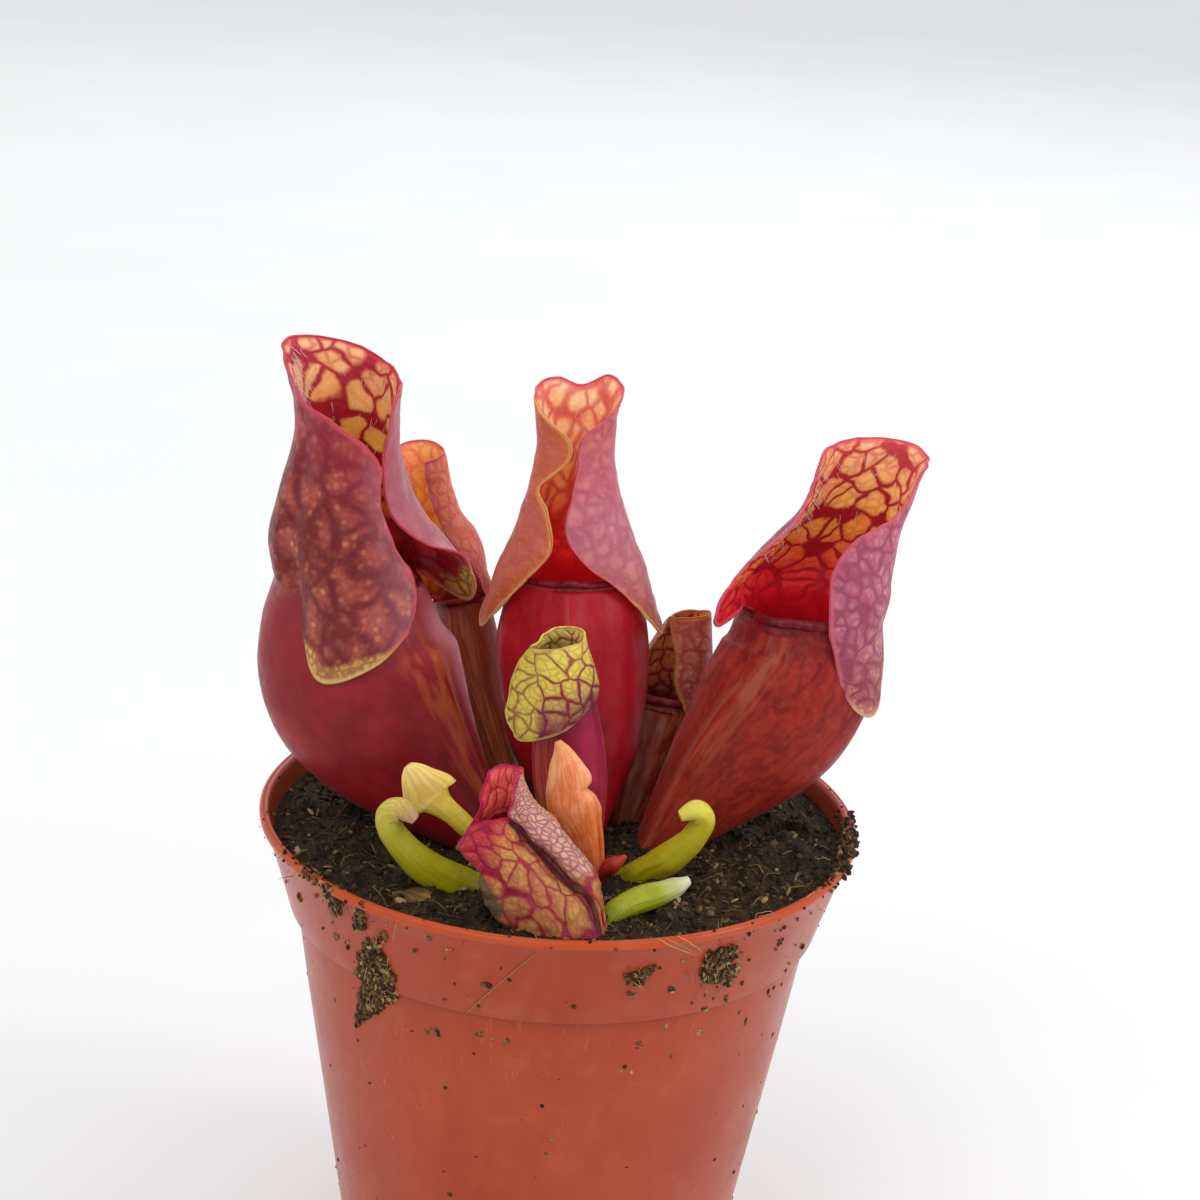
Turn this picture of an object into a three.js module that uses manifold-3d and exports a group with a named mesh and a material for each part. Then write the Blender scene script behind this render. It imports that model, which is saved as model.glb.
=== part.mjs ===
// Young purple pitcher plant in a 9 cm terracotta-coloured nursery pot.
// Millimetres, +Z up, origin at the centre of the pot's underside.
import * as THREE from 'three';
import { mergeVertices } from 'three/addons/utils/BufferGeometryUtils.js';
import Module from 'manifold-3d';

const wasm = await Module();
wasm.setup();

// pot
const POT_HEIGHT = 80;
const RIM_RADIUS = 45;
const COLLAR_HEIGHT = 15;
const COLLAR_FOOT_RADIUS = 40.2;
const BODY_TOP_RADIUS = 39;
const BASE_RADIUS = 29;
const WALL = 1.1;
const FLOOR = 1.8;
const POT_SIDES = 48;
const DRAIN_HOLES = 6;
const DRAIN_RADIUS = 3;
const DRAIN_CIRCLE = 18;

// soil
const SOIL_LEVEL = 78.3;
const GAP = 0.35;

// leaves
const WALL_BIG = 0.8;
const WALL_SMALL = 0.7;
const RING_SIDES = 20;

const DEG = Math.PI / 180;

function hermite(a, b, c, d, f) {
  const m1 = (c - a) / 2;
  const m2 = (d - b) / 2;
  const f2 = f * f;
  const f3 = f2 * f;
  return (2 * f3 - 3 * f2 + 1) * b + (f3 - 2 * f2 + f) * m1 + (3 * f2 - 2 * f3) * c + (f3 - f2) * m2;
}

// smooth curve through a list of rows of numbers, t from 0 to rows - 1
function along(rows, t) {
  const last = rows.length - 1;
  const i = Math.max(0, Math.min(last - 1, Math.floor(t)));
  const a = rows[Math.max(i - 1, 0)];
  const b = rows[i];
  const c = rows[i + 1];
  const d = rows[Math.min(i + 2, last)];
  return b.map((v, k) => hermite(a[k], v, c[k], d[k], t - i));
}

function frameAt(spine, facing, t) {
  const last = spine.length - 1;
  const p = along(spine, t);
  const q0 = along(spine, Math.max(0, t - 0.05));
  const q1 = along(spine, Math.min(last, t + 0.05));
  const tangent = new THREE.Vector3(q1[0] - q0[0], q1[1] - q0[1], q1[2] - q0[2]).normalize();
  const side = new THREE.Vector3(0, 0, 1);
  if (facing !== null) side.set(-Math.sin(facing * DEG), Math.cos(facing * DEG), 0);
  side.addScaledVector(tangent, -side.dot(tangent)).normalize();
  const front = new THREE.Vector3().crossVectors(side, tangent);
  return { p, centre: new THREE.Vector3(p[0], p[1], p[2]), tangent, side, front };
}

// spine rows: x, y, z, half width, depth / width, height of the wing at the front
function ringPoint(spine, facing, t, phi, grow, ribs) {
  const f = frameAt(spine, facing, t);
  const a = phi * DEG;
  const near = Math.atan2(Math.sin(a), Math.cos(a)) / (11 * DEG);
  const wing = (f.p[5] || 0) * Math.exp(-near * near);
  const rib = 1 + (ribs || 0) * Math.cos(7 * a + 1) * Math.min(1, f.p[3] / 6);
  const r = f.p[3] * rib + grow;
  const depth = f.p[3] * rib * (f.p[4] || 1) + grow;
  return f.centre.clone()
    .addScaledVector(f.front, depth * Math.cos(a) + wing)
    .addScaledVector(f.side, r * Math.sin(a));
}

function toManifold(points, tris) {
  const vertProperties = new Float32Array(points.length * 3);
  points.forEach((p, i) => vertProperties.set([p.x, p.y, p.z], i * 3));
  const mesh = new wasm.Mesh({ numProp: 3, vertProperties, triVerts: Uint32Array.from(tris) });
  return new wasm.Manifold(mesh);
}

// closed rod along a spine, used for shoots, stem sockets and lips
function rod(spine, facing, rows, sides, from, to, grow) {
  const points = [];
  const tris = [];
  for (let i = 0; i <= rows; i += 1) {
    const t = from + (to - from) * i / rows;
    for (let j = 0; j < sides; j += 1) {
      points.push(ringPoint(spine, facing, t, 360 * j / sides, grow, 0));
    }
  }
  for (let i = 0; i < rows; i += 1) {
    for (let j = 0; j < sides; j += 1) {
      const a = i * sides + j;
      const b = i * sides + (j + 1) % sides;
      tris.push(a, b, b + sides, a, b + sides, a + sides);
    }
  }
  const foot = points.length;
  points.push(frameAt(spine, facing, from).centre);
  points.push(frameAt(spine, facing, to).centre);
  for (let j = 0; j < sides; j += 1) {
    const k = (j + 1) % sides;
    tris.push(foot, k, j);
    tris.push(foot + 1, rows * sides + j, rows * sides + k);
  }
  return toManifold(points, tris);
}

// angles of the tube's columns: finer beside the wing
function columnAngles(sides) {
  const angles = [0, 9, 20];
  const rest = (sides - 4) / 2;
  for (let k = 1; k < rest; k += 1) {
    angles.push(20 + (180 - 20) * k / rest);
  }
  const back = [180];
  for (let k = angles.length - 1; k > 0; k -= 1) {
    back.push(360 - angles[k]);
  }
  return angles.concat(back);
}

// hood net: columns of control points (turn from the front, distance from the mouth's axis, height)
function hoodPoint(leaf, mouth, u, v) {
  const rows = leaf.hood[0].length - 1;
  const column = leaf.hood.map((c) => along(c, v * rows));
  const [turn, dist, rise] = along(column, u);
  const lean = leaf.lean || [0, 0];
  const up = Math.max(0, rise);
  const a = (turn + leaf.facing) * DEG;
  return new THREE.Vector3(
    mouth.x + lean[0] * up + dist * Math.cos(a),
    mouth.y + lean[1] * up + dist * Math.sin(a),
    mouth.z + rise,
  );
}

// whole pitcher: tube, hood and rolled lip in one body
function pitcher(leaf) {
  const sides = leaf.sides || RING_SIDES;
  const angles = columnAngles(sides);
  const rows = leaf.rows || 12;
  const last = leaf.spine.length - 1;
  const points = [];
  const rowOf = [];
  for (let i = 0; i <= rows; i += 1) {
    angles.forEach((phi) => {
      points.push(ringPoint(leaf.spine, leaf.facing, last * i / rows, phi, 0, leaf.ribs));
      rowOf.push(i);
    });
  }
  const tris = [];
  for (let i = 0; i < rows; i += 1) {
    for (let j = 0; j < sides; j += 1) {
      const a = i * sides + j;
      const b = i * sides + (j + 1) % sides;
      tris.push([a, b, b + sides], [a, b + sides, a + sides]);
    }
  }
  const mouthRow = rows * sides;
  const mouth = frameAt(leaf.spine, leaf.facing, last).centre;
  const [ka, kb] = leaf.attached;
  const netRows = leaf.hood[0].length - 1;
  const turnAt = (u) => along(leaf.hood.map((c) => along(c, 0)), u)[0];
  const columns = [];
  const free = leaf.lobeColumns || 6;
  for (let c = 0; c < free; c += 1) {
    columns.push({ u: ka * c / free, ring: -1 });
  }
  const low = turnAt(ka) - 4;
  const high = turnAt(kb) + 4;
  const inside = angles.map((phi, j) => ({ phi, j })).filter((e) => e.phi >= low && e.phi <= high);
  inside.forEach((e) => {
    let lo = ka;
    let hi = kb;
    for (let n = 0; n < 30; n += 1) {
      const mid = (lo + hi) / 2;
      if (turnAt(mid) < e.phi) lo = mid;
      else hi = mid;
    }
    columns.push({ u: (lo + hi) / 2, ring: mouthRow + e.j });
  });
  const top = leaf.hood.length - 1;
  for (let c = 1; c <= free; c += 1) {
    columns.push({ u: kb + (top - kb) * c / free, ring: -1 });
  }
  const firstRing = columns[free];
  const lastRing = columns[columns.length - 1 - free];
  const shiftA = points[firstRing.ring].clone().sub(hoodPoint(leaf, mouth, firstRing.u, 0));
  const shiftB = points[lastRing.ring].clone().sub(hoodPoint(leaf, mouth, lastRing.u, 0));
  const hoodRows = leaf.hoodRows || netRows + 2;
  const grid = columns.map((col) => {
    const list = [];
    let shift = new THREE.Vector3();
    if (col.ring >= 0) {
      shift = points[col.ring].clone().sub(hoodPoint(leaf, mouth, col.u, 0));
    } else if (col.u < ka) {
      shift = shiftA.clone().multiplyScalar(Math.exp(-(((firstRing.u - col.u) / 0.6) ** 2)));
    } else {
      shift = shiftB.clone().multiplyScalar(Math.exp(-(((col.u - lastRing.u) / 0.6) ** 2)));
    }
    for (let k = 0; k <= hoodRows; k += 1) {
      const v = k / hoodRows;
      if (k === 0 && col.ring >= 0) {
        list.push(col.ring);
      } else {
        const w = (1 - v) * (1 - v) * (1 + 2 * v);
        list.push(points.length);
        points.push(hoodPoint(leaf, mouth, col.u, v).addScaledVector(shift, w));
        rowOf.push(rows + k);
      }
    }
    return list;
  });
  for (let c = 0; c + 1 < grid.length; c += 1) {
    for (let k = 0; k < hoodRows; k += 1) {
      const a = grid[c][k];
      const b = grid[c + 1][k];
      const d = grid[c][k + 1];
      const e = grid[c + 1][k + 1];
      if ((c + k) % 2) tris.push([a, b, e], [a, e, d]);
      else tris.push([a, b, d], [b, e, d]);
    }
  }
  const shell = thicken(points, tris, rowOf, sides, leaf.wall || WALL_BIG, leaf.solidRows || 3);
  const joined = shell.add(lip(leaf, angles, points, mouthRow, mouth, turnAt(ka), turnAt(kb)));
  return largest(joined);
}

function largest(solid) {
  return solid.setTolerance(0.02).decompose().sort((a, b) => b.volume() - a.volume())[0];
}

// gives the sheet its thickness: outer skin, inner skin and the strip between them
function thicken(sheet, tris, rowOf, sides, wall, solidRows) {
  const normals = sheet.map(() => new THREE.Vector3());
  tris.forEach(([a, b, c]) => {
    const n = new THREE.Vector3().crossVectors(
      sheet[b].clone().sub(sheet[a]),
      sheet[c].clone().sub(sheet[a]),
    ).normalize();
    [a, b, c].forEach((k) => normals[k].add(n));
  });
  const count = sheet.length;
  const inner = sheet.map((p, k) => p.clone().addScaledVector(normals[k].normalize(), -wall));
  const points = sheet.concat(inner);
  const out = [];
  const edges = new Map();
  tris.forEach(([a, b, c]) => {
    out.push(a, b, c);
    [[a, b], [b, c], [c, a]].forEach(([p, q]) => edges.set(`${p},${q}`, [p, q]));
    if (Math.min(rowOf[a], rowOf[b], rowOf[c]) >= solidRows) {
      out.push(count + a, count + c, count + b);
    }
  });
  edges.forEach(([p, q]) => {
    if (edges.has(`${q},${p}`)) return;
    if (rowOf[p] === 0 && rowOf[q] === 0) return;
    out.push(q, p, count + p, q, count + p, count + q);
  });
  const floor = points.length;
  const middle = (start) => {
    const c = new THREE.Vector3();
    for (let j = 0; j < sides; j += 1) c.addScaledVector(points[start + j], 1 / sides);
    return c;
  };
  points.push(middle(0));
  points.push(middle(count + solidRows * sides));
  for (let j = 0; j < sides; j += 1) {
    const k = (j + 1) % sides;
    out.push(floor, k, j);
    out.push(floor + 1, count + solidRows * sides + j, count + solidRows * sides + k);
  }
  return toManifold(points, out);
}

// rolled lip along the front of the mouth, between the two lobes
function lip(leaf, angles, points, mouthRow, mouth, turnA, turnB) {
  const arc = [];
  angles.forEach((phi, j) => {
    const turn = phi > 180 ? phi - 360 : phi;
    if (turn <= turnA - 6 && turn >= turnB - 354) arc.push([turn, points[mouthRow + j]]);
  });
  arc.sort((a, b) => a[0] - b[0]);
  const size = leaf.lip || 0.8;
  const spine = arc.map(([, p], k) => {
    const s = Math.sin(Math.PI * (k + 0.6) / (arc.length + 0.2));
    const out = p.clone().sub(mouth).setZ(0).normalize();
    const q = p.clone().addScaledVector(out, size * 0.55 * s - 0.25);
    return [q.x, q.y, q.z - 0.15, 0.3 + (size - 0.3) * Math.sqrt(s), 1, 0];
  });
  return rod(spine, null, (spine.length - 1) * 2, 6, 0, spine.length - 1, 0);
}

const LEAVES = {
  pitcher_centre: {
    facing: -90,
    ribs: 0.012,
    lean: [-0.02, 0.02],
    spine: [
      [3.8, -7, 70, 1.7, 1, 0],
      [4.2, -6.3, 77, 2.3, 1, 0],
      [4, -4.8, 82, 4.3, 0.95, 0.4],
      [2.6, -1.2, 87, 8.2, 0.9, 0.8],
      [1.3, 3, 93, 10.5, 0.92, 1],
      [0.4, 7, 100, 11.6, 0.95, 1],
      [0, 9.2, 106, 11.3, 0.95, 0.9],
      [-0.5, 10.7, 111.4, 9.7, 0.95, 0.8],
      [-0.6, 11, 113.8, 9, 0.95, 0.4],
    ],
    attached: [3, 7],
    hood: [
      [
        [64, 14.2, -5], [42, 11, 0.5], [14, 9.4, 4.2], [-6, 8.2, 8.5], [-2, 6.8, 13.5],
        [8, 5.8, 18], [-4, 5.6, 23], [0, 6, 29.5],
      ],
      [
        [76, 14.8, -7.5], [66, 12.4, -0.5], [56, 10.4, 3.8], [50, 8.8, 8], [48, 7.2, 13],
        [46, 6.1, 18], [46, 5.8, 23.5], [48, 6.4, 30.3],
      ],
      [
        [88, 13.4, -5], [83, 12, -0.5], [79, 10.3, 3.8], [76, 8.7, 8.2], [74, 7, 13], [74, 6, 18],
        [74, 5.8, 23.5], [74, 6.5, 29.5],
      ],
      [
        [98, 9, 0], [98, 10.2, 2.7], [98, 9.2, 5.6], [98, 7.9, 9.2], [98, 6.6, 13.5],
        [98, 5.8, 18], [98, 5.8, 23], [98, 6.5, 28.8],
      ],
      [
        [140, 9, 0], [140, 9.7, 3], [140, 9, 6], [140, 7.8, 9.5], [140, 6.6, 13.5], [140, 5.8, 18],
        [140, 5.8, 22.8], [140, 6.4, 27.5],
      ],
      [
        [180, 9, 0], [180, 9.7, 3], [180, 9, 6], [180, 7.8, 9.5], [180, 6.6, 13.5], [180, 5.8, 18],
        [180, 5.8, 22.4], [180, 6.3, 26.6],
      ],
      [
        [220, 9, 0], [220, 9.7, 3], [220, 9, 6], [220, 7.8, 9.5], [220, 6.6, 13.5], [220, 5.8, 18],
        [220, 5.8, 22.4], [220, 6.5, 26.6],
      ],
      [
        [262, 9, 0], [262, 10.2, 2.7], [262, 9.2, 5.6], [262, 7.9, 9.2], [262, 6.7, 13.5],
        [262, 5.9, 18], [262, 6, 22.2], [262, 6.7, 26.4],
      ],
      [
        [275, 13, -5], [278, 11.6, -0.5], [280, 10.2, 3.8], [282, 8.8, 8.2], [284, 7.4, 12.8],
        [284, 6.4, 17.5], [282, 6.2, 21.8], [276, 6.8, 26],
      ],
      [
        [288, 13.8, -8], [296, 12.2, -1.5], [306, 10.6, 3.2], [310, 9.2, 8.4], [302, 8, 13],
        [314, 6.8, 18], [312, 6.4, 22], [284, 6.9, 26],
      ],
      [
        [300, 12.6, -5], [322, 10.8, 1], [341, 9.3, 6], [334, 8.6, 11.4], [318, 7.9, 14.8],
        [351, 6.7, 19.2], [348, 6.5, 22.6], [292, 6.9, 25.8],
      ],
    ],
  },
  pitcher_left: {
    facing: -38,
    ribs: 0.008,
    lean: [-0.08, 0],
    spine: [
      [-4.6, -13.4, 70, 2, 1, 0],
      [-7.2, -12.4, 76, 2.9, 1, 0.6],
      [-14.4, -8.4, 82.3, 6.4, 1, 1.4],
      [-23.6, -3.4, 89.3, 12.2, 1, 1.8],
      [-30.4, 0, 97.5, 15.7, 1, 1.8],
      [-32.6, 1.5, 105, 14.2, 1, 1.4],
      [-32.2, 2, 110, 12.7, 1, 1],
      [-32, 2, 113, 12.2, 1, 0.4],
    ],
    attached: [3, 7],
    hood: [
      [[33, 18, 0.5], [30, 16, 6], [12, 11.8, 8.8], [-8, 9, 13], [-8, 8, 20], [9, 8.2, 29]],
      [[48, 17.4, -2.2], [44, 15.6, 4.2], [38, 11.6, 9.6], [34, 8.2, 14.6], [36, 7.3, 22], [40, 8, 30]],
      [
        [68, 14.6, -1.6], [64, 13.2, 5], [60, 10.4, 10.6], [60, 8.4, 16.2], [60, 7.5, 23],
        [60, 8, 30.5],
      ],
      [[80, 12.2, 0], [80, 12.2, 5.5], [80, 10.8, 11.5], [80, 9, 17.5], [82, 7.9, 24], [85, 8.2, 31]],
      [
        [120, 12.2, 0], [120, 12.4, 6], [120, 11.2, 12.5], [120, 9.3, 19], [120, 8, 25.5],
        [120, 8.4, 32],
      ],
      [
        [180, 12.2, 0], [180, 12.7, 6.5], [180, 11.3, 13], [180, 9.3, 20], [180, 8, 27],
        [180, 8.7, 33.6],
      ],
      [
        [218, 12.2, 0], [218, 12.5, 6.5], [218, 10.9, 13], [218, 8.7, 20], [218, 7.6, 27],
        [222, 9, 33.8],
      ],
      [
        [262, 12.2, 0], [262, 12.7, 6], [262, 11.4, 12], [264, 9.3, 18.5], [266, 8.3, 24.5],
        [262, 8.6, 29],
      ],
      [
        [283, 15.3, -6.4], [285, 14.6, 3.6], [286, 12.5, 11.5], [288, 10.3, 17.8], [289, 8.9, 23],
        [290, 8.6, 27.2],
      ],
      [
        [299, 16.9, -9.8], [303, 16, -0.6], [306, 14.2, 8], [308, 11.8, 15], [309, 9.7, 21],
        [310, 8.8, 25.4],
      ],
      [
        [324, 17, -6.9], [329, 15.8, 1], [330, 14.2, 8.5], [330, 11.6, 14.5], [329, 9.7, 19.5],
        [330, 9, 23.2],
      ],
      [
        [342, 16.2, -2.5], [350, 14.8, 4], [344, 12.2, 9], [340, 10.4, 14], [341, 9.6, 17.2],
        [345, 9.2, 19.6],
      ],
    ],
  },
  pitcher_right: {
    facing: -120,
    ribs: 0.02,
    lean: [0.32, 0.05],
    spine: [
      [10.8, -9.5, 70, 2, 1, 0],
      [12.6, -8, 75, 3, 1, 0.8],
      [16.5, -5.4, 80.6, 5.8, 1, 1.5],
      [22.5, -1.5, 87.5, 9.8, 1, 1.6],
      [28.8, 2, 95, 12.9, 1, 1.5],
      [33.2, 4.5, 103, 13, 1, 1.2],
      [34.8, 5.7, 109, 11.2, 1, 0.8],
      [35.2, 6, 112.5, 10.2, 1, 0.4],
    ],
    attached: [2, 6],
    hood: [
      [
        [84, 12.6, -11.5], [64, 12.8, -6.8], [46, 12.5, -1.2], [33, 11.8, 4.5], [26, 10.6, 9.6],
        [38, 9, 14], [78, 8, 17], [104, 8.2, 22.6],
      ],
      [
        [102, 12.2, -9], [94, 12.4, -5], [82, 12.2, 0], [72, 11.4, 4.8], [68, 10, 9.5],
        [74, 8.7, 13.4], [92, 7.9, 17], [114, 8.2, 23.2],
      ],
      [
        [125, 10.2, 0], [123, 10.6, 3], [120, 9.8, 6.5], [118, 8.9, 10], [116, 8.3, 13],
        [116, 8, 16], [120, 8, 19.5], [128, 8.2, 23.5],
      ],
      [
        [165, 10.2, 0], [165, 10.8, 4], [165, 10.1, 8], [165, 9.2, 11.5], [165, 8.5, 15],
        [165, 8.1, 18.5], [165, 7.9, 21.5], [165, 8.1, 24.4],
      ],
      [
        [215, 10.2, 0], [215, 11.1, 4], [215, 10.3, 8], [215, 9.2, 11.5], [215, 8.4, 15],
        [215, 8.1, 18.5], [215, 8, 21.5], [215, 8.2, 24.2],
      ],
      [
        [262, 10.2, 0], [262, 11.2, 4], [262, 10.4, 8], [262, 8.8, 11.5], [262, 7.6, 15],
        [262, 7.4, 18], [262, 7.4, 21], [262, 7.6, 23.6],
      ],
      [
        [308, 10.2, 0], [308, 12, 3.5], [308, 11.4, 7.5], [304, 9.2, 11], [298, 7.4, 14],
        [290, 7.2, 17.4], [284, 7.3, 20.4], [280, 7.5, 23.3],
      ],
      [
        [322, 13.8, 0.3], [322, 14.8, 4], [320, 13.2, 7.8], [316, 10, 11.2], [310, 7.6, 14.2],
        [302, 7.3, 17.4], [294, 7.4, 20.4], [287, 7.5, 23.1],
      ],
      [
        [335, 18.4, 1.8], [332, 17.4, 4.8], [328, 14.6, 7.8], [326, 11.4, 10.8], [324, 8.8, 13.8],
        [312, 7.5, 17.2], [302, 7.4, 20.2], [293, 7.5, 22.9],
      ],
    ],
  },
  pitcher_back_left: {
    facing: -110,
    sides: 14,
    rows: 9,
    wall: WALL_SMALL,
    lip: 0.6,
    ribs: 0.01,
    lean: [-0.33, 0.15],
    spine: [
      [-4, -3.5, 70, 1.4, 1, 0],
      [-6, 0, 77, 1.9, 1, 0],
      [-10, 8, 84, 3, 1, 0.4],
      [-14, 16, 91, 4.3, 1, 0.6],
      [-16, 20.5, 97, 4.9, 1, 0.6],
      [-17.2, 22.5, 102, 4.5, 1, 0.4],
      [-17.8, 23, 104.5, 4.2, 1, 0.2],
    ],
    attached: [2, 4],
    lobeColumns: 4,
    hood: [
      [[70, 7, 1], [62, 7, 5], [50, 6.4, 8.5], [30, 3.8, 12], [20, 3.4, 17], [30, 3.8, 21.5]],
      [[90, 6.8, 0], [85, 6.4, 4.8], [80, 5.8, 9], [62, 3.8, 12.6], [60, 3.4, 17.5], [62, 3.8, 22]],
      [[108, 4.2, 0], [106, 5.5, 5], [105, 5.1, 9.5], [104, 3.6, 13], [104, 3.4, 18], [104, 3.8, 22.5]],
      [[180, 4.2, 0], [180, 5, 5.5], [180, 4.6, 10], [180, 3.8, 14], [180, 3.4, 18.6], [180, 3.9, 23]],
      [[260, 4.2, 0], [260, 5.4, 5], [262, 5, 9.5], [262, 4, 13.5], [262, 3.6, 18], [262, 4, 22.4]],
      [
        [285, 6.5, -0.5], [290, 6.3, 4.6], [292, 5.5, 9], [292, 4.2, 13.2], [292, 3.7, 17.4],
        [290, 4, 21.6],
      ],
      [[305, 6.8, 1], [320, 6, 5.5], [325, 5, 9.5], [322, 4.2, 13], [318, 3.8, 16.8], [310, 4, 20.6]],
    ],
  },
  pitcher_back_right: {
    facing: -125,
    sides: 14,
    rows: 9,
    wall: WALL_SMALL,
    lip: 0.6,
    ribs: 0.015,
    lean: [0.2, 0.2],
    spine: [
      [8.6, -1, 70, 1.3, 1, 0],
      [9.6, 3, 76, 1.8, 1, 0],
      [12, 9, 82, 3.2, 1, 0.4],
      [13.8, 14, 88, 4.4, 1, 0.6],
      [15.2, 17, 93, 4.6, 1, 0.4],
      [15.8, 17.6, 96, 4.2, 1, 0.2],
    ],
    attached: [2, 4],
    lobeColumns: 4,
    hood: [
      [[65, 6.8, -4], [50, 6.5, -0.5], [35, 5.2, 3], [50, 3.8, 6], [90, 2.6, 9]],
      [[85, 6.8, -3.5], [80, 6.4, 0], [78, 5.2, 3.5], [85, 3.8, 6.5], [105, 2.5, 9.6]],
      [[112, 4.2, 0], [112, 5.3, 2.5], [112, 4.8, 5], [115, 3.7, 7.5], [122, 2.4, 10]],
      [[180, 4.2, 0], [180, 4.9, 3], [180, 4.5, 5.5], [180, 3.6, 8], [180, 2.4, 10.4]],
      [[262, 4.2, 0], [262, 5.1, 2.5], [262, 4.9, 5], [255, 3.9, 7.3], [245, 2.6, 9.8]],
      [[290, 6.2, 0], [290, 6.4, 2.5], [288, 5.6, 4.8], [278, 4.4, 7], [262, 3, 9.4]],
      [[312, 8, 1], [310, 7.4, 3], [305, 6.2, 5], [292, 4.8, 6.8], [272, 3.2, 9]],
    ],
  },
  pitcher_front_small: {
    facing: -150,
    sides: 14,
    rows: 9,
    wall: WALL_SMALL,
    lip: 0.6,
    lean: [-0.15, 0],
    spine: [
      [4.6, -15.5, 70, 1.3, 1, 0],
      [4.4, -15.5, 77, 2, 1, 0],
      [3, -14.8, 83, 3.8, 1, 0.4],
      [1.8, -14.2, 89, 5.2, 1, 0.6],
      [1, -14, 95, 5.3, 1, 0.6],
      [0.5, -14, 100, 4.6, 1, 0.4],
      [0.3, -14, 102.5, 4.2, 1, 0.2],
    ],
    attached: [3, 5],
    lobeColumns: 4,
    hood: [
      [[15, 7.8, -4], [5, 7.6, -0.5], [0, 6.8, 3], [0, 5.6, 6.2], [12, 4.6, 8.6]],
      [[45, 7.6, -5], [42, 7, -1], [40, 6.2, 3], [40, 5.2, 6.2], [42, 4.4, 9]],
      [[75, 6.4, -3.2], [74, 6.1, 0], [73, 5.5, 3.4], [72, 4.7, 6.8], [72, 3.8, 9.4]],
      [[105, 4.2, 0], [105, 5, 2.6], [105, 4.6, 5], [105, 4.1, 7.5], [105, 3.4, 10]],
      [[180, 4.2, 0], [180, 4.8, 2.6], [180, 4.5, 5.2], [180, 3.9, 7.8], [180, 3.4, 10.4]],
      [[255, 4.2, 0], [255, 5.1, 2.6], [255, 4.9, 5], [255, 4.5, 7.4], [255, 4, 9.4]],
      [[285, 6, -1.5], [288, 6.2, 1.6], [290, 5.7, 4.2], [290, 4.9, 6.6], [290, 4.4, 8.8]],
      [[312, 7, -2.6], [322, 7, 0.5], [328, 6.3, 3.4], [328, 5.4, 6], [320, 4.7, 8.4]],
    ],
  },
  pitcher_front_old: {
    facing: -85,
    sides: 14,
    rows: 9,
    wall: WALL_SMALL,
    lip: 0.5,
    lean: [-0.2, 0.1],
    spine: [
      [6.4, -29, 70, 1.4, 1, 0],
      [6.4, -31, 76, 2.8, 1, 0.3],
      [3.6, -32.4, 79.8, 5.6, 0.75, 1],
      [-0.6, -32.2, 83.8, 7, 0.7, 1.3],
      [-4.6, -31.4, 87.4, 6.8, 0.7, 1.1],
      [-7, -30.8, 89.6, 6.1, 0.75, 0.6],
    ],
    attached: [2, 4],
    lobeColumns: 4,
    hood: [
      [[10, 6.4, -0.5], [14, 6, 1], [30, 5, 3], [60, 3.6, 5], [90, 2.8, 6.8]],
      [[50, 6.8, -0.6], [52, 6.2, 1.2], [60, 5, 3.2], [80, 3.6, 5.4], [110, 2.6, 7.4]],
      [[90, 6.1, 0], [90, 6.1, 1.6], [95, 4.9, 3.6], [105, 3.6, 5.8], [130, 2.5, 8]],
      [[180, 6.1, 0], [180, 5.8, 2], [180, 4.6, 4.2], [180, 3.4, 6.4], [180, 2.6, 8.4]],
      [[255, 6.1, 0], [252, 5.9, 1.8], [246, 4.8, 3.8], [236, 3.6, 5.8], [220, 2.7, 7.8]],
      [[285, 7, -1], [278, 6.6, 0.8], [264, 5.2, 2.6], [250, 4, 4.8], [235, 2.9, 7]],
      [[320, 6.8, -1.6], [305, 6.8, 0], [285, 5.6, 2], [262, 4.2, 4.2], [244, 3, 6.4]],
    ],
  },
};

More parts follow.
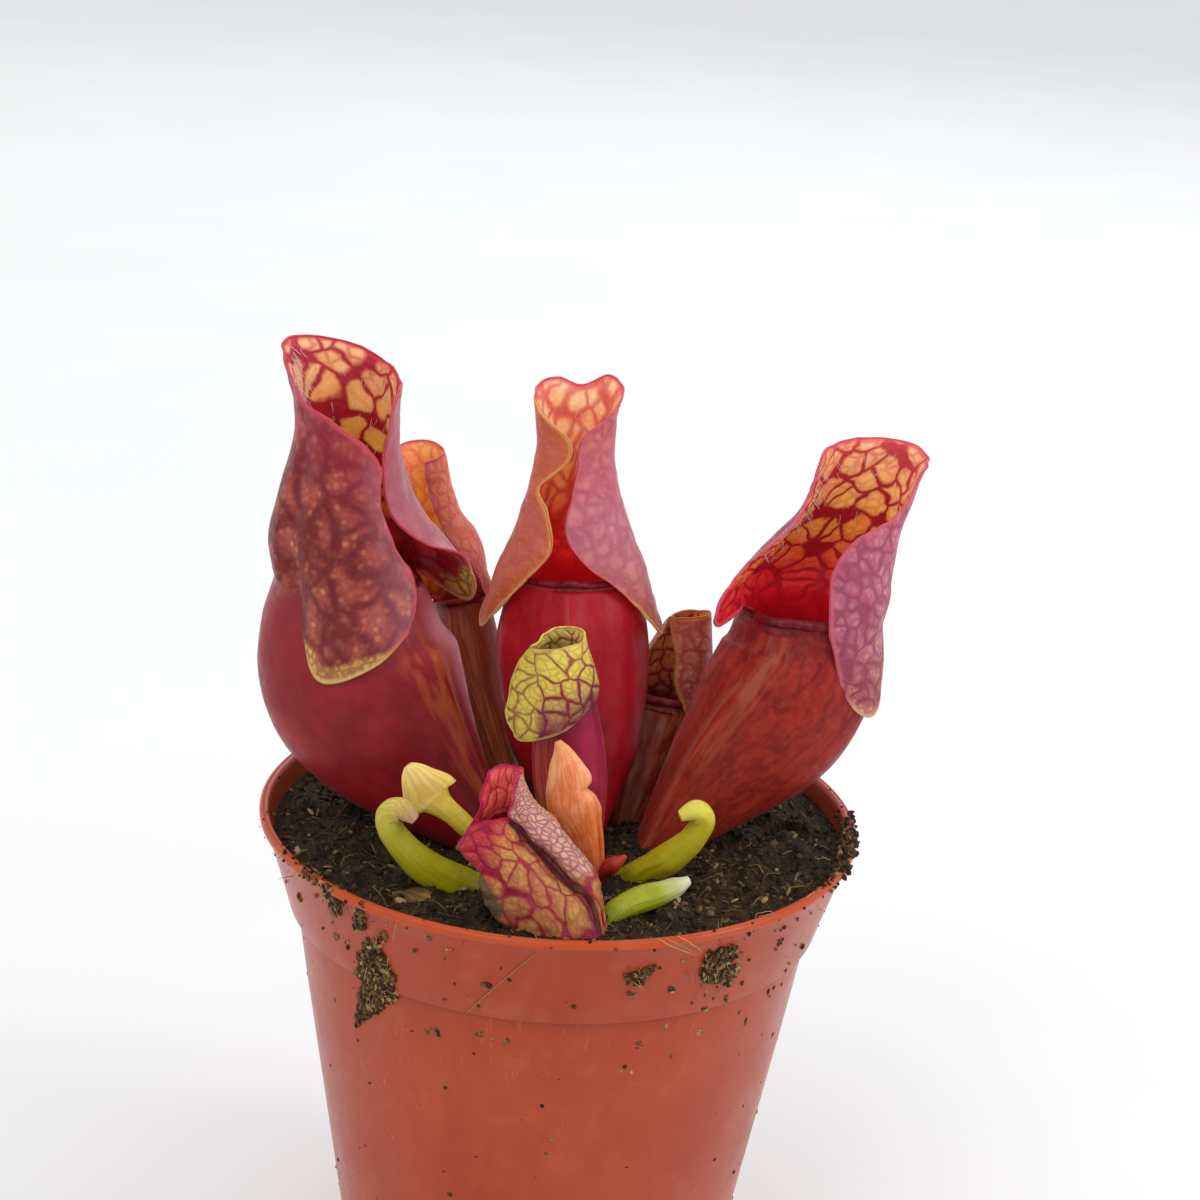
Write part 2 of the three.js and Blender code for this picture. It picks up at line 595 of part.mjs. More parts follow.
const SHOOTS = {
  bud_orange: {
    facing: -90,
    rows: 12,
    sides: 10,
    spine: [
      [6.8, -19.6, 70, 1.2, 0.8, 0],
      [6.9, -20.6, 77, 2, 0.8, 0],
      [5.8, -21.6, 84, 3.2, 0.62, 0],
      [3.4, -22.2, 90, 3.6, 0.6, 0],
      [0.8, -22.4, 95.6, 2.7, 0.6, 0],
      [-0.9, -22.2, 99.8, 0.7, 0.8, 0],
    ],
  },
  shoot_left_green: {
    facing: -60,
    rows: 16,
    sides: 10,
    spine: [
      [-6, -21, 70, 1.4, 1, 0],
      [-8, -22.6, 75, 2.3, 1, 0],
      [-12.5, -24.6, 77.6, 2.7, 1, 0.3],
      [-18, -26, 80.8, 2.5, 1, 0.3],
      [-22.4, -26.6, 85.4, 1.9, 1, 0.2],
      [-23.4, -27, 88.8, 1.9, 1, 0],
      [-21.6, -27.6, 90.2, 1.7, 1, 0],
      [-19.6, -28, 88.9, 0.8, 1, 0],
    ],
  },
  shoot_left_yellow: {
    facing: -90,
    rows: 14,
    sides: 8,
    spine: [
      [-1.5, -19, 70, 0.9, 1, 0],
      [-3, -19.3, 76, 1, 1, 0],
      [-8.5, -20.5, 81, 1.2, 1, 0],
      [-13.6, -21.6, 86, 1.4, 1, 0],
      [-16.4, -22, 89, 2, 0.8, 0],
      [-18, -22, 90.7, 3.9, 0.32, 0],
      [-21.6, -22, 94.6, 0.8, 0.8, 0],
    ],
  },
  shoot_right_green: {
    facing: -120,
    rows: 16,
    sides: 10,
    spine: [
      [9.5, -15.8, 70, 1.1, 1, 0],
      [9, -17, 75, 1.7, 1, 0],
      [12, -18.4, 78, 2.2, 1, 0.3],
      [16, -19.4, 81.4, 2.3, 1, 0.3],
      [19.5, -20.2, 85.4, 1.9, 1, 0.2],
      [20.8, -20.8, 88.6, 1.7, 1, 0],
      [19.6, -21.6, 90.4, 1.6, 1, 0],
      [17.4, -22.2, 89.6, 0.8, 1, 0],
    ],
  },
  shoot_right_low: {
    facing: -90,
    rows: 10,
    sides: 8,
    spine: [
      [11, -25.5, 70, 0.8, 1, 0],
      [10.2, -28, 75.6, 1.2, 1, 0],
      [13, -27, 78, 1.7, 1, 0],
      [16.4, -25, 79, 1.7, 1, 0],
      [18.8, -24, 79.8, 0.9, 1, 0],
    ],
  },
  sprout_red: {
    facing: -90,
    rows: 8,
    sides: 8,
    spine: [
      [5.8, -12, 72, 0.7, 1, 0],
      [6.4, -12.6, 77, 1, 1, 0],
      [8, -13, 79, 1.1, 1, 0],
      [9.6, -13.2, 79.8, 0.45, 1, 0],
    ],
  },
  dead_leaf: {
    facing: -60,
    rows: 8,
    sides: 8,
    spine: [
      [-22.5, -29.6, 76.6, 0.5, 1, 0],
      [-20.5, -29.2, 78, 1.6, 0.35, 0],
      [-18, -29.6, 77.6, 1.9, 0.3, 0],
      [-15.6, -29.4, 76.8, 0.5, 1, 0],
    ],
  },
};

// closed solid from a geometry of the three library
function solidFrom(geometry) {
  geometry.deleteAttribute('normal');
  geometry.deleteAttribute('uv');
  const merged = mergeVertices(geometry, 1e-4);
  const index = merged.index.array;
  const tris = [];
  for (let i = 0; i < index.length; i += 3) {
    const [a, b, c] = [index[i], index[i + 1], index[i + 2]];
    if (a !== b && b !== c && c !== a) tris.push(a, b, c);
  }
  const position = merged.attributes.position;
  const points = [];
  for (let i = 0; i < position.count; i += 1) {
    points.push(new THREE.Vector3().fromBufferAttribute(position, i));
  }
  return toManifold(points, tris);
}

// turned shape about the pot's axis from a profile of radius and height
function revolve(profile, sides) {
  const outline = profile.map(([r, z]) => new THREE.Vector2(r, z));
  const geometry = new THREE.LatheGeometry(outline, sides);
  geometry.rotateX(Math.PI / 2);
  return solidFrom(geometry);
}

function pot() {
  const foot = POT_HEIGHT - COLLAR_HEIGHT;
  const shell = revolve([
    [0, 0],
    [BASE_RADIUS - 1.2, 0],
    [BASE_RADIUS, 1],
    [BODY_TOP_RADIUS, foot - 0.8],
    [BODY_TOP_RADIUS, foot],
    [COLLAR_FOOT_RADIUS, foot],
    [RIM_RADIUS - 0.6, POT_HEIGHT - 1.5],
    [RIM_RADIUS, POT_HEIGHT - 1.1],
    [RIM_RADIUS, POT_HEIGHT - 0.3],
    [RIM_RADIUS - 0.3, POT_HEIGHT],
    [RIM_RADIUS - 1.1, POT_HEIGHT],
    [RIM_RADIUS - 1.6, POT_HEIGHT - 1.2],
    [COLLAR_FOOT_RADIUS - WALL, foot + 1],
    [BODY_TOP_RADIUS - WALL, foot - 0.6],
    [BASE_RADIUS - WALL + 0.2, FLOOR + 1],
    [BASE_RADIUS - WALL - 0.8, FLOOR],
    [0, FLOOR],
  ], POT_SIDES);
  let result = shell;
  for (let k = 0; k < DRAIN_HOLES; k += 1) {
    const a = 2 * Math.PI * (k + 0.5) / DRAIN_HOLES;
    const cutter = new THREE.CylinderGeometry(DRAIN_RADIUS, DRAIN_RADIUS, FLOOR + 2, 16);
    cutter.rotateX(Math.PI / 2);
    cutter.translate(DRAIN_CIRCLE * Math.cos(a), DRAIN_CIRCLE * Math.sin(a), FLOOR / 2);
    const hole = solidFrom(cutter);
    result = result.subtract(hole);
  }
  return result;
}

// clods of the soil: a fixed sum of waves over the surface
function clods(x, y) {
  let h = 0;
  for (let k = 1; k <= 9; k += 1) {
    const a = k * 2.4;
    const f = 0.16 + 0.055 * k;
    h += Math.sin(f * (x * Math.cos(a) + y * Math.sin(a)) * 2 + k * k) / (1.6 + 0.35 * k);
  }
  return h;
}

function soilHeight(x, y) {
  const r = Math.hypot(x, y);
  const crown = Math.exp(-((x - 4) ** 2 + (y + 14) ** 2) / 260);
  const frontRise = Math.max(0, -y - 18) * 0.05;
  const leftDip = 0.02 * Math.max(0, -x);
  const lumps = 0.75 * clods(x, y) * Math.min(1, (RIM_RADIUS - 2.6 - r) / 6);
  return SOIL_LEVEL - 0.6 + 0.6 * crown + frontRise + lumps - leftDip;
}

function soil() {
  const sides = 38;
  const rings = 9;
  const foot = POT_HEIGHT - COLLAR_HEIGHT;
  const edge = RIM_RADIUS - 2.6;
  const points = [];
  const tris = [];
  const wallRings = [
    [BASE_RADIUS - WALL - 1, FLOOR + GAP],
    [BODY_TOP_RADIUS - WALL - 0.5, foot - 1.2],
    [COLLAR_FOOT_RADIUS - WALL - 0.5, foot + 1.2],
    [RIM_RADIUS - 3.1, POT_HEIGHT - 4],
  ];
  wallRings.forEach(([r, z]) => {
    for (let j = 0; j < sides; j += 1) {
      const a = 2 * Math.PI * j / sides;
      points.push(new THREE.Vector3(r * Math.cos(a), r * Math.sin(a), z));
    }
  });
  for (let i = rings; i >= 1; i -= 1) {
    for (let j = 0; j < sides; j += 1) {
      const a = 2 * Math.PI * (j + (i % 2) * 0.5 * (i < rings ? 1 : 0)) / sides;
      const r = edge * i / rings;
      const x = r * Math.cos(a);
      const y = r * Math.sin(a);
      points.push(new THREE.Vector3(x, y, soilHeight(x, y)));
    }
  }
  const bands = wallRings.length + rings - 1;
  for (let i = 0; i < bands; i += 1) {
    for (let j = 0; j < sides; j += 1) {
      const a = i * sides + j;
      const b = i * sides + (j + 1) % sides;
      tris.push(a, b, b + sides, a, b + sides, a + sides);
    }
  }
  const under = points.length;
  points.push(new THREE.Vector3(0, 0, FLOOR + GAP));
  points.push(new THREE.Vector3(0, 0, soilHeight(0, 0)));
  for (let j = 0; j < sides; j += 1) {
    const k = (j + 1) % sides;
    tris.push(under, k, j);
    tris.push(under + 1, bands * sides + j, bands * sides + k);
  }
  let result = toManifold(points, tris);
  [...Object.values(LEAVES), ...Object.values(SHOOTS)].forEach((leaf) => {
    const to = leaf.spine.length - 1;
    const grown = leaf.spine.map((row) => row.slice());
    grown[0][2] -= GAP;
    const socket = rod(grown, leaf.facing, 7, leaf.hood ? 12 : 10, 0, Math.min(to, 4), GAP + 0.2);
    result = result.subtract(socket);
  });
  return largest(result);
}

function mesh(name, solid, color, roughness) {
  const m = solid.getMesh();
  const step = m.numProp;
  const n = m.vertProperties.length / step;
  const positions = new Float32Array(n * 3);
  for (let i = 0; i < n; i += 1) {
    for (let k = 0; k < 3; k += 1) positions[i * 3 + k] = m.vertProperties[i * step + k];
  }
  const geometry = new THREE.BufferGeometry();
  geometry.setAttribute('position', new THREE.BufferAttribute(positions, 3));
  geometry.setIndex(Array.from(m.triVerts));
  geometry.computeVertexNormals();
  const material = new THREE.MeshStandardMaterial({ color, roughness, metalness: 0 });
  const item = new THREE.Mesh(geometry, material);
  item.name = name;
  return item;
}

const COLORS = {
  pitcher_centre: '#a5283c',
  pitcher_left: '#93303f',
  pitcher_right: '#9c3038',
  pitcher_back_left: '#a8502f',
  pitcher_back_right: '#8a3034',
  pitcher_front_small: '#b07a3a',
  pitcher_front_old: '#ad3f4a',
  bud_orange: '#e0704a',
  shoot_left_green: '#b0b03a',
  shoot_left_yellow: '#ddd06a',
  shoot_right_green: '#b4b23c',
  shoot_right_low: '#b9b94a',
  sprout_red: '#c8301c',
  dead_leaf: '#7a6040',
};

const group = new THREE.Group();
group.add(mesh('pot', pot(), '#b24f34', 0.35));
group.add(mesh('soil', soil(), '#241a14', 0.95));
Object.entries(LEAVES).forEach(([name, leaf]) => {
  group.add(mesh(name, pitcher(leaf), COLORS[name], 0.5));
});
Object.entries(SHOOTS).forEach(([name, shoot]) => {
  const solid = rod(shoot.spine, shoot.facing, shoot.rows, shoot.sides, 0, shoot.spine.length - 1, 0);
  group.add(mesh(name, solid, COLORS[name], 0.5));
});

export default group;
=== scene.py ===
# Young purple pitcher plant in a 9 cm terracotta-coloured nursery pot.
# Metres, +Z up, origin at the centre of the pot's underside.
import math
import bpy
import numpy as np
from mathutils import Matrix, Vector


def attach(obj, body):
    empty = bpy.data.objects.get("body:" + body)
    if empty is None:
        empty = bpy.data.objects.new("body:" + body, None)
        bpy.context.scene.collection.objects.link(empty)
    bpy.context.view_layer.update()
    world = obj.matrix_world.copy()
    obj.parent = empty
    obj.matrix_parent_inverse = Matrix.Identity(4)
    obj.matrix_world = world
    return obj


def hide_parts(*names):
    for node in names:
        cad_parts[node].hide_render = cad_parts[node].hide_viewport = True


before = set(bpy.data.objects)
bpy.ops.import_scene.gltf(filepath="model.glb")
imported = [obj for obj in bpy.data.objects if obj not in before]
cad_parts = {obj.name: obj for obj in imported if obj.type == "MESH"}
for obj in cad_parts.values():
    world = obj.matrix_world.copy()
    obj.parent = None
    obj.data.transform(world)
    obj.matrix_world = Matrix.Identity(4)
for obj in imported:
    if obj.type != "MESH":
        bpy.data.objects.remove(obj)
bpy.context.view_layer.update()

scene = bpy.context.scene
rng = np.random.default_rng(11)
MM = 0.001

# ---------------------------------------------------------------- camera
ELEVATION = math.radians(19.07)
ROLL = math.radians(3.91)
AIM = Vector((0.004, 0, 0.1135))
DISTANCE = 0.3674
forward = Vector((0, math.cos(ELEVATION), -math.sin(ELEVATION)))
level = Vector((1, 0, 0))
above = Vector((0, math.sin(ELEVATION), math.cos(ELEVATION)))
right = level * math.cos(ROLL) + above * math.sin(ROLL)
up = above * math.cos(ROLL) - level * math.sin(ROLL)
camera = bpy.data.objects.new("camera", bpy.data.cameras.new("camera"))
scene.collection.objects.link(camera)
camera.data.lens = 75
camera.data.sensor_width = 36
camera.data.clip_start = 0.01
turn = Matrix((right, up, -forward)).transposed()
place = AIM - forward * DISTANCE
camera.matrix_world = Matrix.Translation(place) @ turn.to_4x4()
scene.camera = camera
scene.view_settings.view_transform = "Standard"
scene.view_settings.look = "None"

# ---------------------------------------------------------------- light
world = bpy.data.worlds.new("studio")
scene.world = world
world.use_nodes = True
world.node_tree.nodes["Background"].inputs[0].default_value = (0.93, 0.945, 0.96, 1)
world.node_tree.nodes["Background"].inputs[1].default_value = 0.9


def lamp(name, size, power, at, aim, color):
    """A round lamp at one place, aimed at another."""
    data = bpy.data.lights.new(name, "AREA")
    data.shape = "DISK"
    data.size = size
    data.energy = power
    data.color = color
    obj = bpy.data.objects.new(name, data)
    scene.collection.objects.link(obj)
    way = Vector(aim) - Vector(at)
    obj.matrix_world = Matrix.Translation(Vector(at)) @ way.to_track_quat("-Z", "Y").to_matrix().to_4x4()


lamp("key", 0.9, 6.4, (-0.55, -0.95, 1.5), (0, 0, 0.09), (1.0, 0.99, 0.97))
lamp("side", 0.6, 5.5, (1.15, -0.25, 0.95), (0, 0, 0.1), (1.0, 1.0, 1.0))
lamp("back", 0.7, 3.6, (0.2, 1.2, 1.0), (0, 0, 0.1), (1, 1, 1))

floor_mesh = bpy.data.meshes.new("floor")
floor_mesh.from_pydata([(-4, -4, 0), (4, -4, 0), (4, 4, 0), (-4, 4, 0)], [], [(0, 1, 2, 3)])
ground = bpy.data.objects.new("floor", floor_mesh)
scene.collection.objects.link(ground)


# ---------------------------------------------------------------- numbers
def along(rows, t):
    """Smooth curve through rows of numbers, t from 0 to len(rows) - 1."""
    rows = np.asarray(rows, float)
    t = np.asarray(t, float)
    last = len(rows) - 1
    i = np.clip(np.floor(t).astype(int), 0, last - 1)
    a, b, c, d = rows[np.maximum(i - 1, 0)], rows[i], rows[i + 1], rows[np.minimum(i + 2, last)]
    f = (t - i).reshape(t.shape + (1,) * (rows.ndim - 1))
    m1, m2 = (c - a) / 2, (d - b) / 2
    f2, f3 = f * f, f * f * f
    return (2 * f3 - 3 * f2 + 1) * b + (f3 - 2 * f2 + f) * m1 + (3 * f2 - 2 * f3) * c + (f3 - f2) * m2


def points(text):
    """A list of points: their numbers parted by spaces, a comma after each point."""
    return [tuple(float(number) for number in point.split()) for point in text.split(",")]


def net(text):
    """A list of columns of points, with a semicolon after each column."""
    return [points(column) for column in text.split(";")]


def polar(r, a, z):
    """Points at radius r, angle a in radians and height z."""
    return np.stack([r * np.cos(a), r * np.sin(a), z], -1)


def unit(v):
    """Vectors brought to length 1."""
    return v / np.maximum(np.linalg.norm(v, axis=-1, keepdims=True), 1e-12)


def smooth(x, low, high):
    """0 up to low, 1 from high on, eased between them."""
    f = np.clip((np.asarray(x, float) - low) / (high - low), 0, 1)
    return f * f * (3 - 2 * f)


def bell(x, middle, width):
    """1 at the middle, falling to both sides."""
    return np.exp(-((x - middle) / width) ** 2)


def lattice(ix, iy, iz, seed):
    """A fixed random number from 0 to 1 for each whole-number place."""
    h = (ix * 73856093) ^ (iy * 19349663) ^ (iz * 83492791) ^ (seed * 2654435761)
    h = (h ^ (h >> 13)) * 1274126177 & 0xFFFFFFFF
    h = (h ^ (h >> 16)) * 2246822519 & 0xFFFFFFFF
    return ((h ^ (h >> 15)) & 0xFFFFFF) / 0xFFFFFF


def noise(p, seed):
    """Smooth value noise from -1 to 1 at the points p."""
    i = np.floor(p).astype(np.int64)
    f = p - i
    f = f * f * (3 - 2 * f)
    total = 0
    for dx in (0, 1):
        for dy in (0, 1):
            for dz in (0, 1):
                w = (f[..., 0] if dx else 1 - f[..., 0]) * (f[..., 1] if dy else 1 - f[..., 1])
                w = w * (f[..., 2] if dz else 1 - f[..., 2])
                total = total + w * lattice(i[..., 0] + dx, i[..., 1] + dy, i[..., 2] + dz, seed)
    return 2 * total - 1


def fractal(p, octaves, seed):
    """Noise over several octaves, each twice as fine and half as strong."""
    total, gain = 0, 1
    for k in range(octaves):
        total = total + gain * noise(p * 2 ** k + 17.3 * k, seed + k)
        gain *= 0.5
    return total


# ---------------------------------------------------------------- meshes
def piece(name, verts, faces, materials, nodes=(), attrs=None, index=None):
    """A mesh object in millimetres that rides on the part and stands for the nodes."""
    mesh = bpy.data.meshes.new(name)
    verts = np.asarray(verts, np.float32) * MM
    faces = [np.asarray(f, np.int32) for f in (faces if isinstance(faces, list) else [faces])]
    sizes = np.concatenate([np.full(len(f), f.shape[1], np.int32) for f in faces])
    flatlist = np.concatenate([f.ravel() for f in faces])
    mesh.vertices.add(len(verts))
    mesh.vertices.foreach_set("co", verts.ravel())
    mesh.loops.add(len(flatlist))
    mesh.loops.foreach_set("vertex_index", flatlist)
    mesh.polygons.add(len(sizes))
    mesh.polygons.foreach_set("loop_start", np.concatenate([[0], np.cumsum(sizes)[:-1]]).astype(np.int32))
    mesh.polygons.foreach_set("loop_total", sizes)
    if index is not None:
        mesh.polygons.foreach_set("material_index", np.asarray(index, np.int32))
    mesh.update(calc_edges=True)
    mesh.validate()
    mesh.polygons.foreach_set("use_smooth", np.ones(len(mesh.polygons), bool))
    for key, value in (attrs or {}).items():
        value = np.asarray(value, np.float32)
        kind = "FLOAT_VECTOR" if value.ndim == 2 else "FLOAT"
        layer = mesh.attributes.new(key, kind, "POINT")
        layer.data.foreach_set("vector" if value.ndim == 2 else "value", value.ravel())
    for m in materials:
        mesh.materials.append(m)
    obj = bpy.data.objects.new(name, mesh)
    scene.collection.objects.link(obj)
    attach(obj, "root")
    if nodes:
        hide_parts(*nodes)
    return obj


def grid_faces(rows, cols, wrap):
    """Quads of a grid of rows x cols vertices; wrap joins the last column to the first."""
    i = np.arange(rows - 1)[:, None]
    j = np.arange(cols if wrap else cols - 1)[None, :]
    k = (j + 1) % cols
    a, b = i * cols + j, i * cols + k
    return np.stack([a, b, b + cols, a + cols], -1).reshape(-1, 4)


def ring_caps(rows, sides):
    """Triangles from the ends of a round grid to two points numbered after its vertices."""
    first = np.arange(sides)
    last = first + (rows - 1) * sides
    foot, top = np.full(sides, rows * sides), np.full(sides, rows * sides + 1)
    return np.concatenate([np.stack([np.roll(first, -1), first, foot], -1),
                           np.stack([last, np.roll(last, -1), top], -1)])


def run_length(path):
    """Length along a path at each of its points."""
    return np.concatenate([[0], np.cumsum(np.linalg.norm(np.diff(path, axis=0), axis=1))])


# ---------------------------------------------------------------- shading
def rgb(code):
    """Scene colour from a six-digit screen colour."""
    vals = [int(code[k:k + 2], 16) / 255 for k in (0, 2, 4)]
    return tuple(v / 12.92 if v <= 0.04045 else ((v + 0.055) / 1.055) ** 2.4 for v in vals) + (1.0,)


class Shader:
    """A material and short calls for its nodes."""

    def __init__(self, name, **settings):
        self.material = bpy.data.materials.new(name)
        self.material.use_nodes = True
        self.tree = self.material.node_tree
        self.surface = self.tree.nodes["Principled BSDF"]
        for key, value in settings.items():
            self.surface.inputs[key.replace("_", " ")].default_value = value

    def node(self, kind, ins=None, **props):
        n = self.tree.nodes.new(kind)
        for key, value in props.items():
            setattr(n, key, value)
        for key, value in (ins or {}).items():
            if isinstance(value, bpy.types.NodeSocket):
                self.tree.links.new(value, n.inputs[key])
            else:
                n.inputs[key].default_value = value
        return n

    def attribute(self, name, vector=False):
        n = self.node("ShaderNodeAttribute", attribute_name=name)
        return n.outputs["Vector" if vector else "Fac"]

    def part(self, vector, axis):
        return self.node("ShaderNodeSeparateXYZ", {0: vector}).outputs[axis]

    def place(self):
        """Position in millimetres."""
        n = self.node("ShaderNodeTexCoord")
        return self.scaled(n.outputs["Object"], 1000)

    def scaled(self, vector, by):
        by = (by, by, by) if not hasattr(by, "__len__") else by
        return self.node("ShaderNodeVectorMath", {0: vector, 1: by}, operation="MULTIPLY").outputs[0]

    def sum(self, a, b):
        return self.node("ShaderNodeVectorMath", {0: a, 1: b}, operation="ADD").outputs[0]

    def math(self, kind, a, b):
        return self.node("ShaderNodeMath", {0: a, 1: b}, operation=kind).outputs[0]

    def times(self, a, b):
        return self.math("MULTIPLY", a, b)

    def add(self, a, b):
        return self.math("ADD", a, b)

    def inverse(self, a):
        return self.math("SUBTRACT", 1.0, a)

    def nudged(self, a, vary, amount):
        """a moved up and down by a noise that runs from 0 to 1."""
        return self.add(a, self.times(self.math("SUBTRACT", vary, 0.5), amount))

    def step(self, x, low, high, bottom=0.0, top=1.0):
        ins = {"Value": x, "From Min": low, "From Max": high, "To Min": bottom, "To Max": top}
        return self.node("ShaderNodeMapRange", ins, interpolation_type="SMOOTHSTEP").outputs[0]

    def mix(self, amount, a, b):
        return self.node("ShaderNodeMix", {0: amount, 6: a, 7: b}, data_type="RGBA").outputs[2]

    def tinted(self, colour, amount, by, code):
        """The colour with some of a screen colour over it: amount times by."""
        return self.mix(self.times(amount, by), colour, rgb(code))

    def ramp(self, x, text):
        """Colour ramp: the text holds a place and a screen colour for each stop."""
        words = text.split()
        n = self.node("ShaderNodeValToRGB", {0: x})
        bar = n.color_ramp.elements
        while len(bar) > 1:
            bar.remove(bar[-1])
        bar[0].position = float(words[0])
        bar[0].color = rgb(words[1])
        for at, code in zip(words[2::2], words[3::2]):
            bar.new(float(at)).color = rgb(code)
        return n.outputs[0]

    def noise(self, vector, size, detail=2.0, rough=0.5, out="Fac"):
        ins = {"Vector": vector, "Scale": 1.0 / size, "Detail": detail, "Roughness": rough}
        return self.node("ShaderNodeTexNoise", ins).outputs[out]

    def warped(self, vector, size, amount, by=None):
        n = self.noise(vector if by is None else by, size, 1.0, out="Color")
        n = self.node("ShaderNodeVectorMath", {0: n, 1: (0.5, 0.5, 0.5)}, operation="SUBTRACT").outputs[0]
        return self.sum(vector, self.scaled(n, amount))

    def edges(self, vector, size, flat="3D"):
        """Distance to the nearest border of a net of cells, 0 on the border."""
        ins = {"Vector": vector, "Scale": 1.0 / size}
        return self.node("ShaderNodeTexVoronoi", ins, feature="DISTANCE_TO_EDGE",
                         voronoi_dimensions=flat).outputs["Distance"]

    def cells(self, vector, size, flat="3D"):
        ins = {"Vector": vector, "Scale": 1.0 / size}
        return self.node("ShaderNodeTexVoronoi", ins, feature="F1", voronoi_dimensions=flat)

    def bump(self, height, depth, strength=1.0):
        return self.node("ShaderNodeBump",
                         {"Height": height, "Distance": depth, "Strength": strength}).outputs[0]

    def finish(self, colour, rough, normal=None):
        for key, value in (("Base Color", colour), ("Roughness", rough), ("Normal", normal)):
            if value is not None:
                self.tree.links.new(value, self.surface.inputs[key])
        return self.material


# what a leaf's skin has where its own look says nothing; sizes in millimetres
LEAF_LOOK = dict(
    blotch=4.0, blush_and_light_amount=0.6, coat=0.03, edge_amount=0.85, edge_in=0.15, edge_out=0.8, fine=1.0,
    fleck=0.25, heart=0.35, keel=(0.12, 0.3), lit_from=(1.02, 1.3), mottle=0.1, mottle_size=1.5, net=1.0,
    relief=0.00022, round_soft=0.2, sheen=0.02, shine=0.2, size=3.0, soft=0.16, spot=0.3,
    spread=1.0, streak_colour="b8602e", streaks=0.7, stripe=2.6, stripes=0.25, thin=0.4, tip_vein="7a3030",
    warp=0.7, width=0.04)


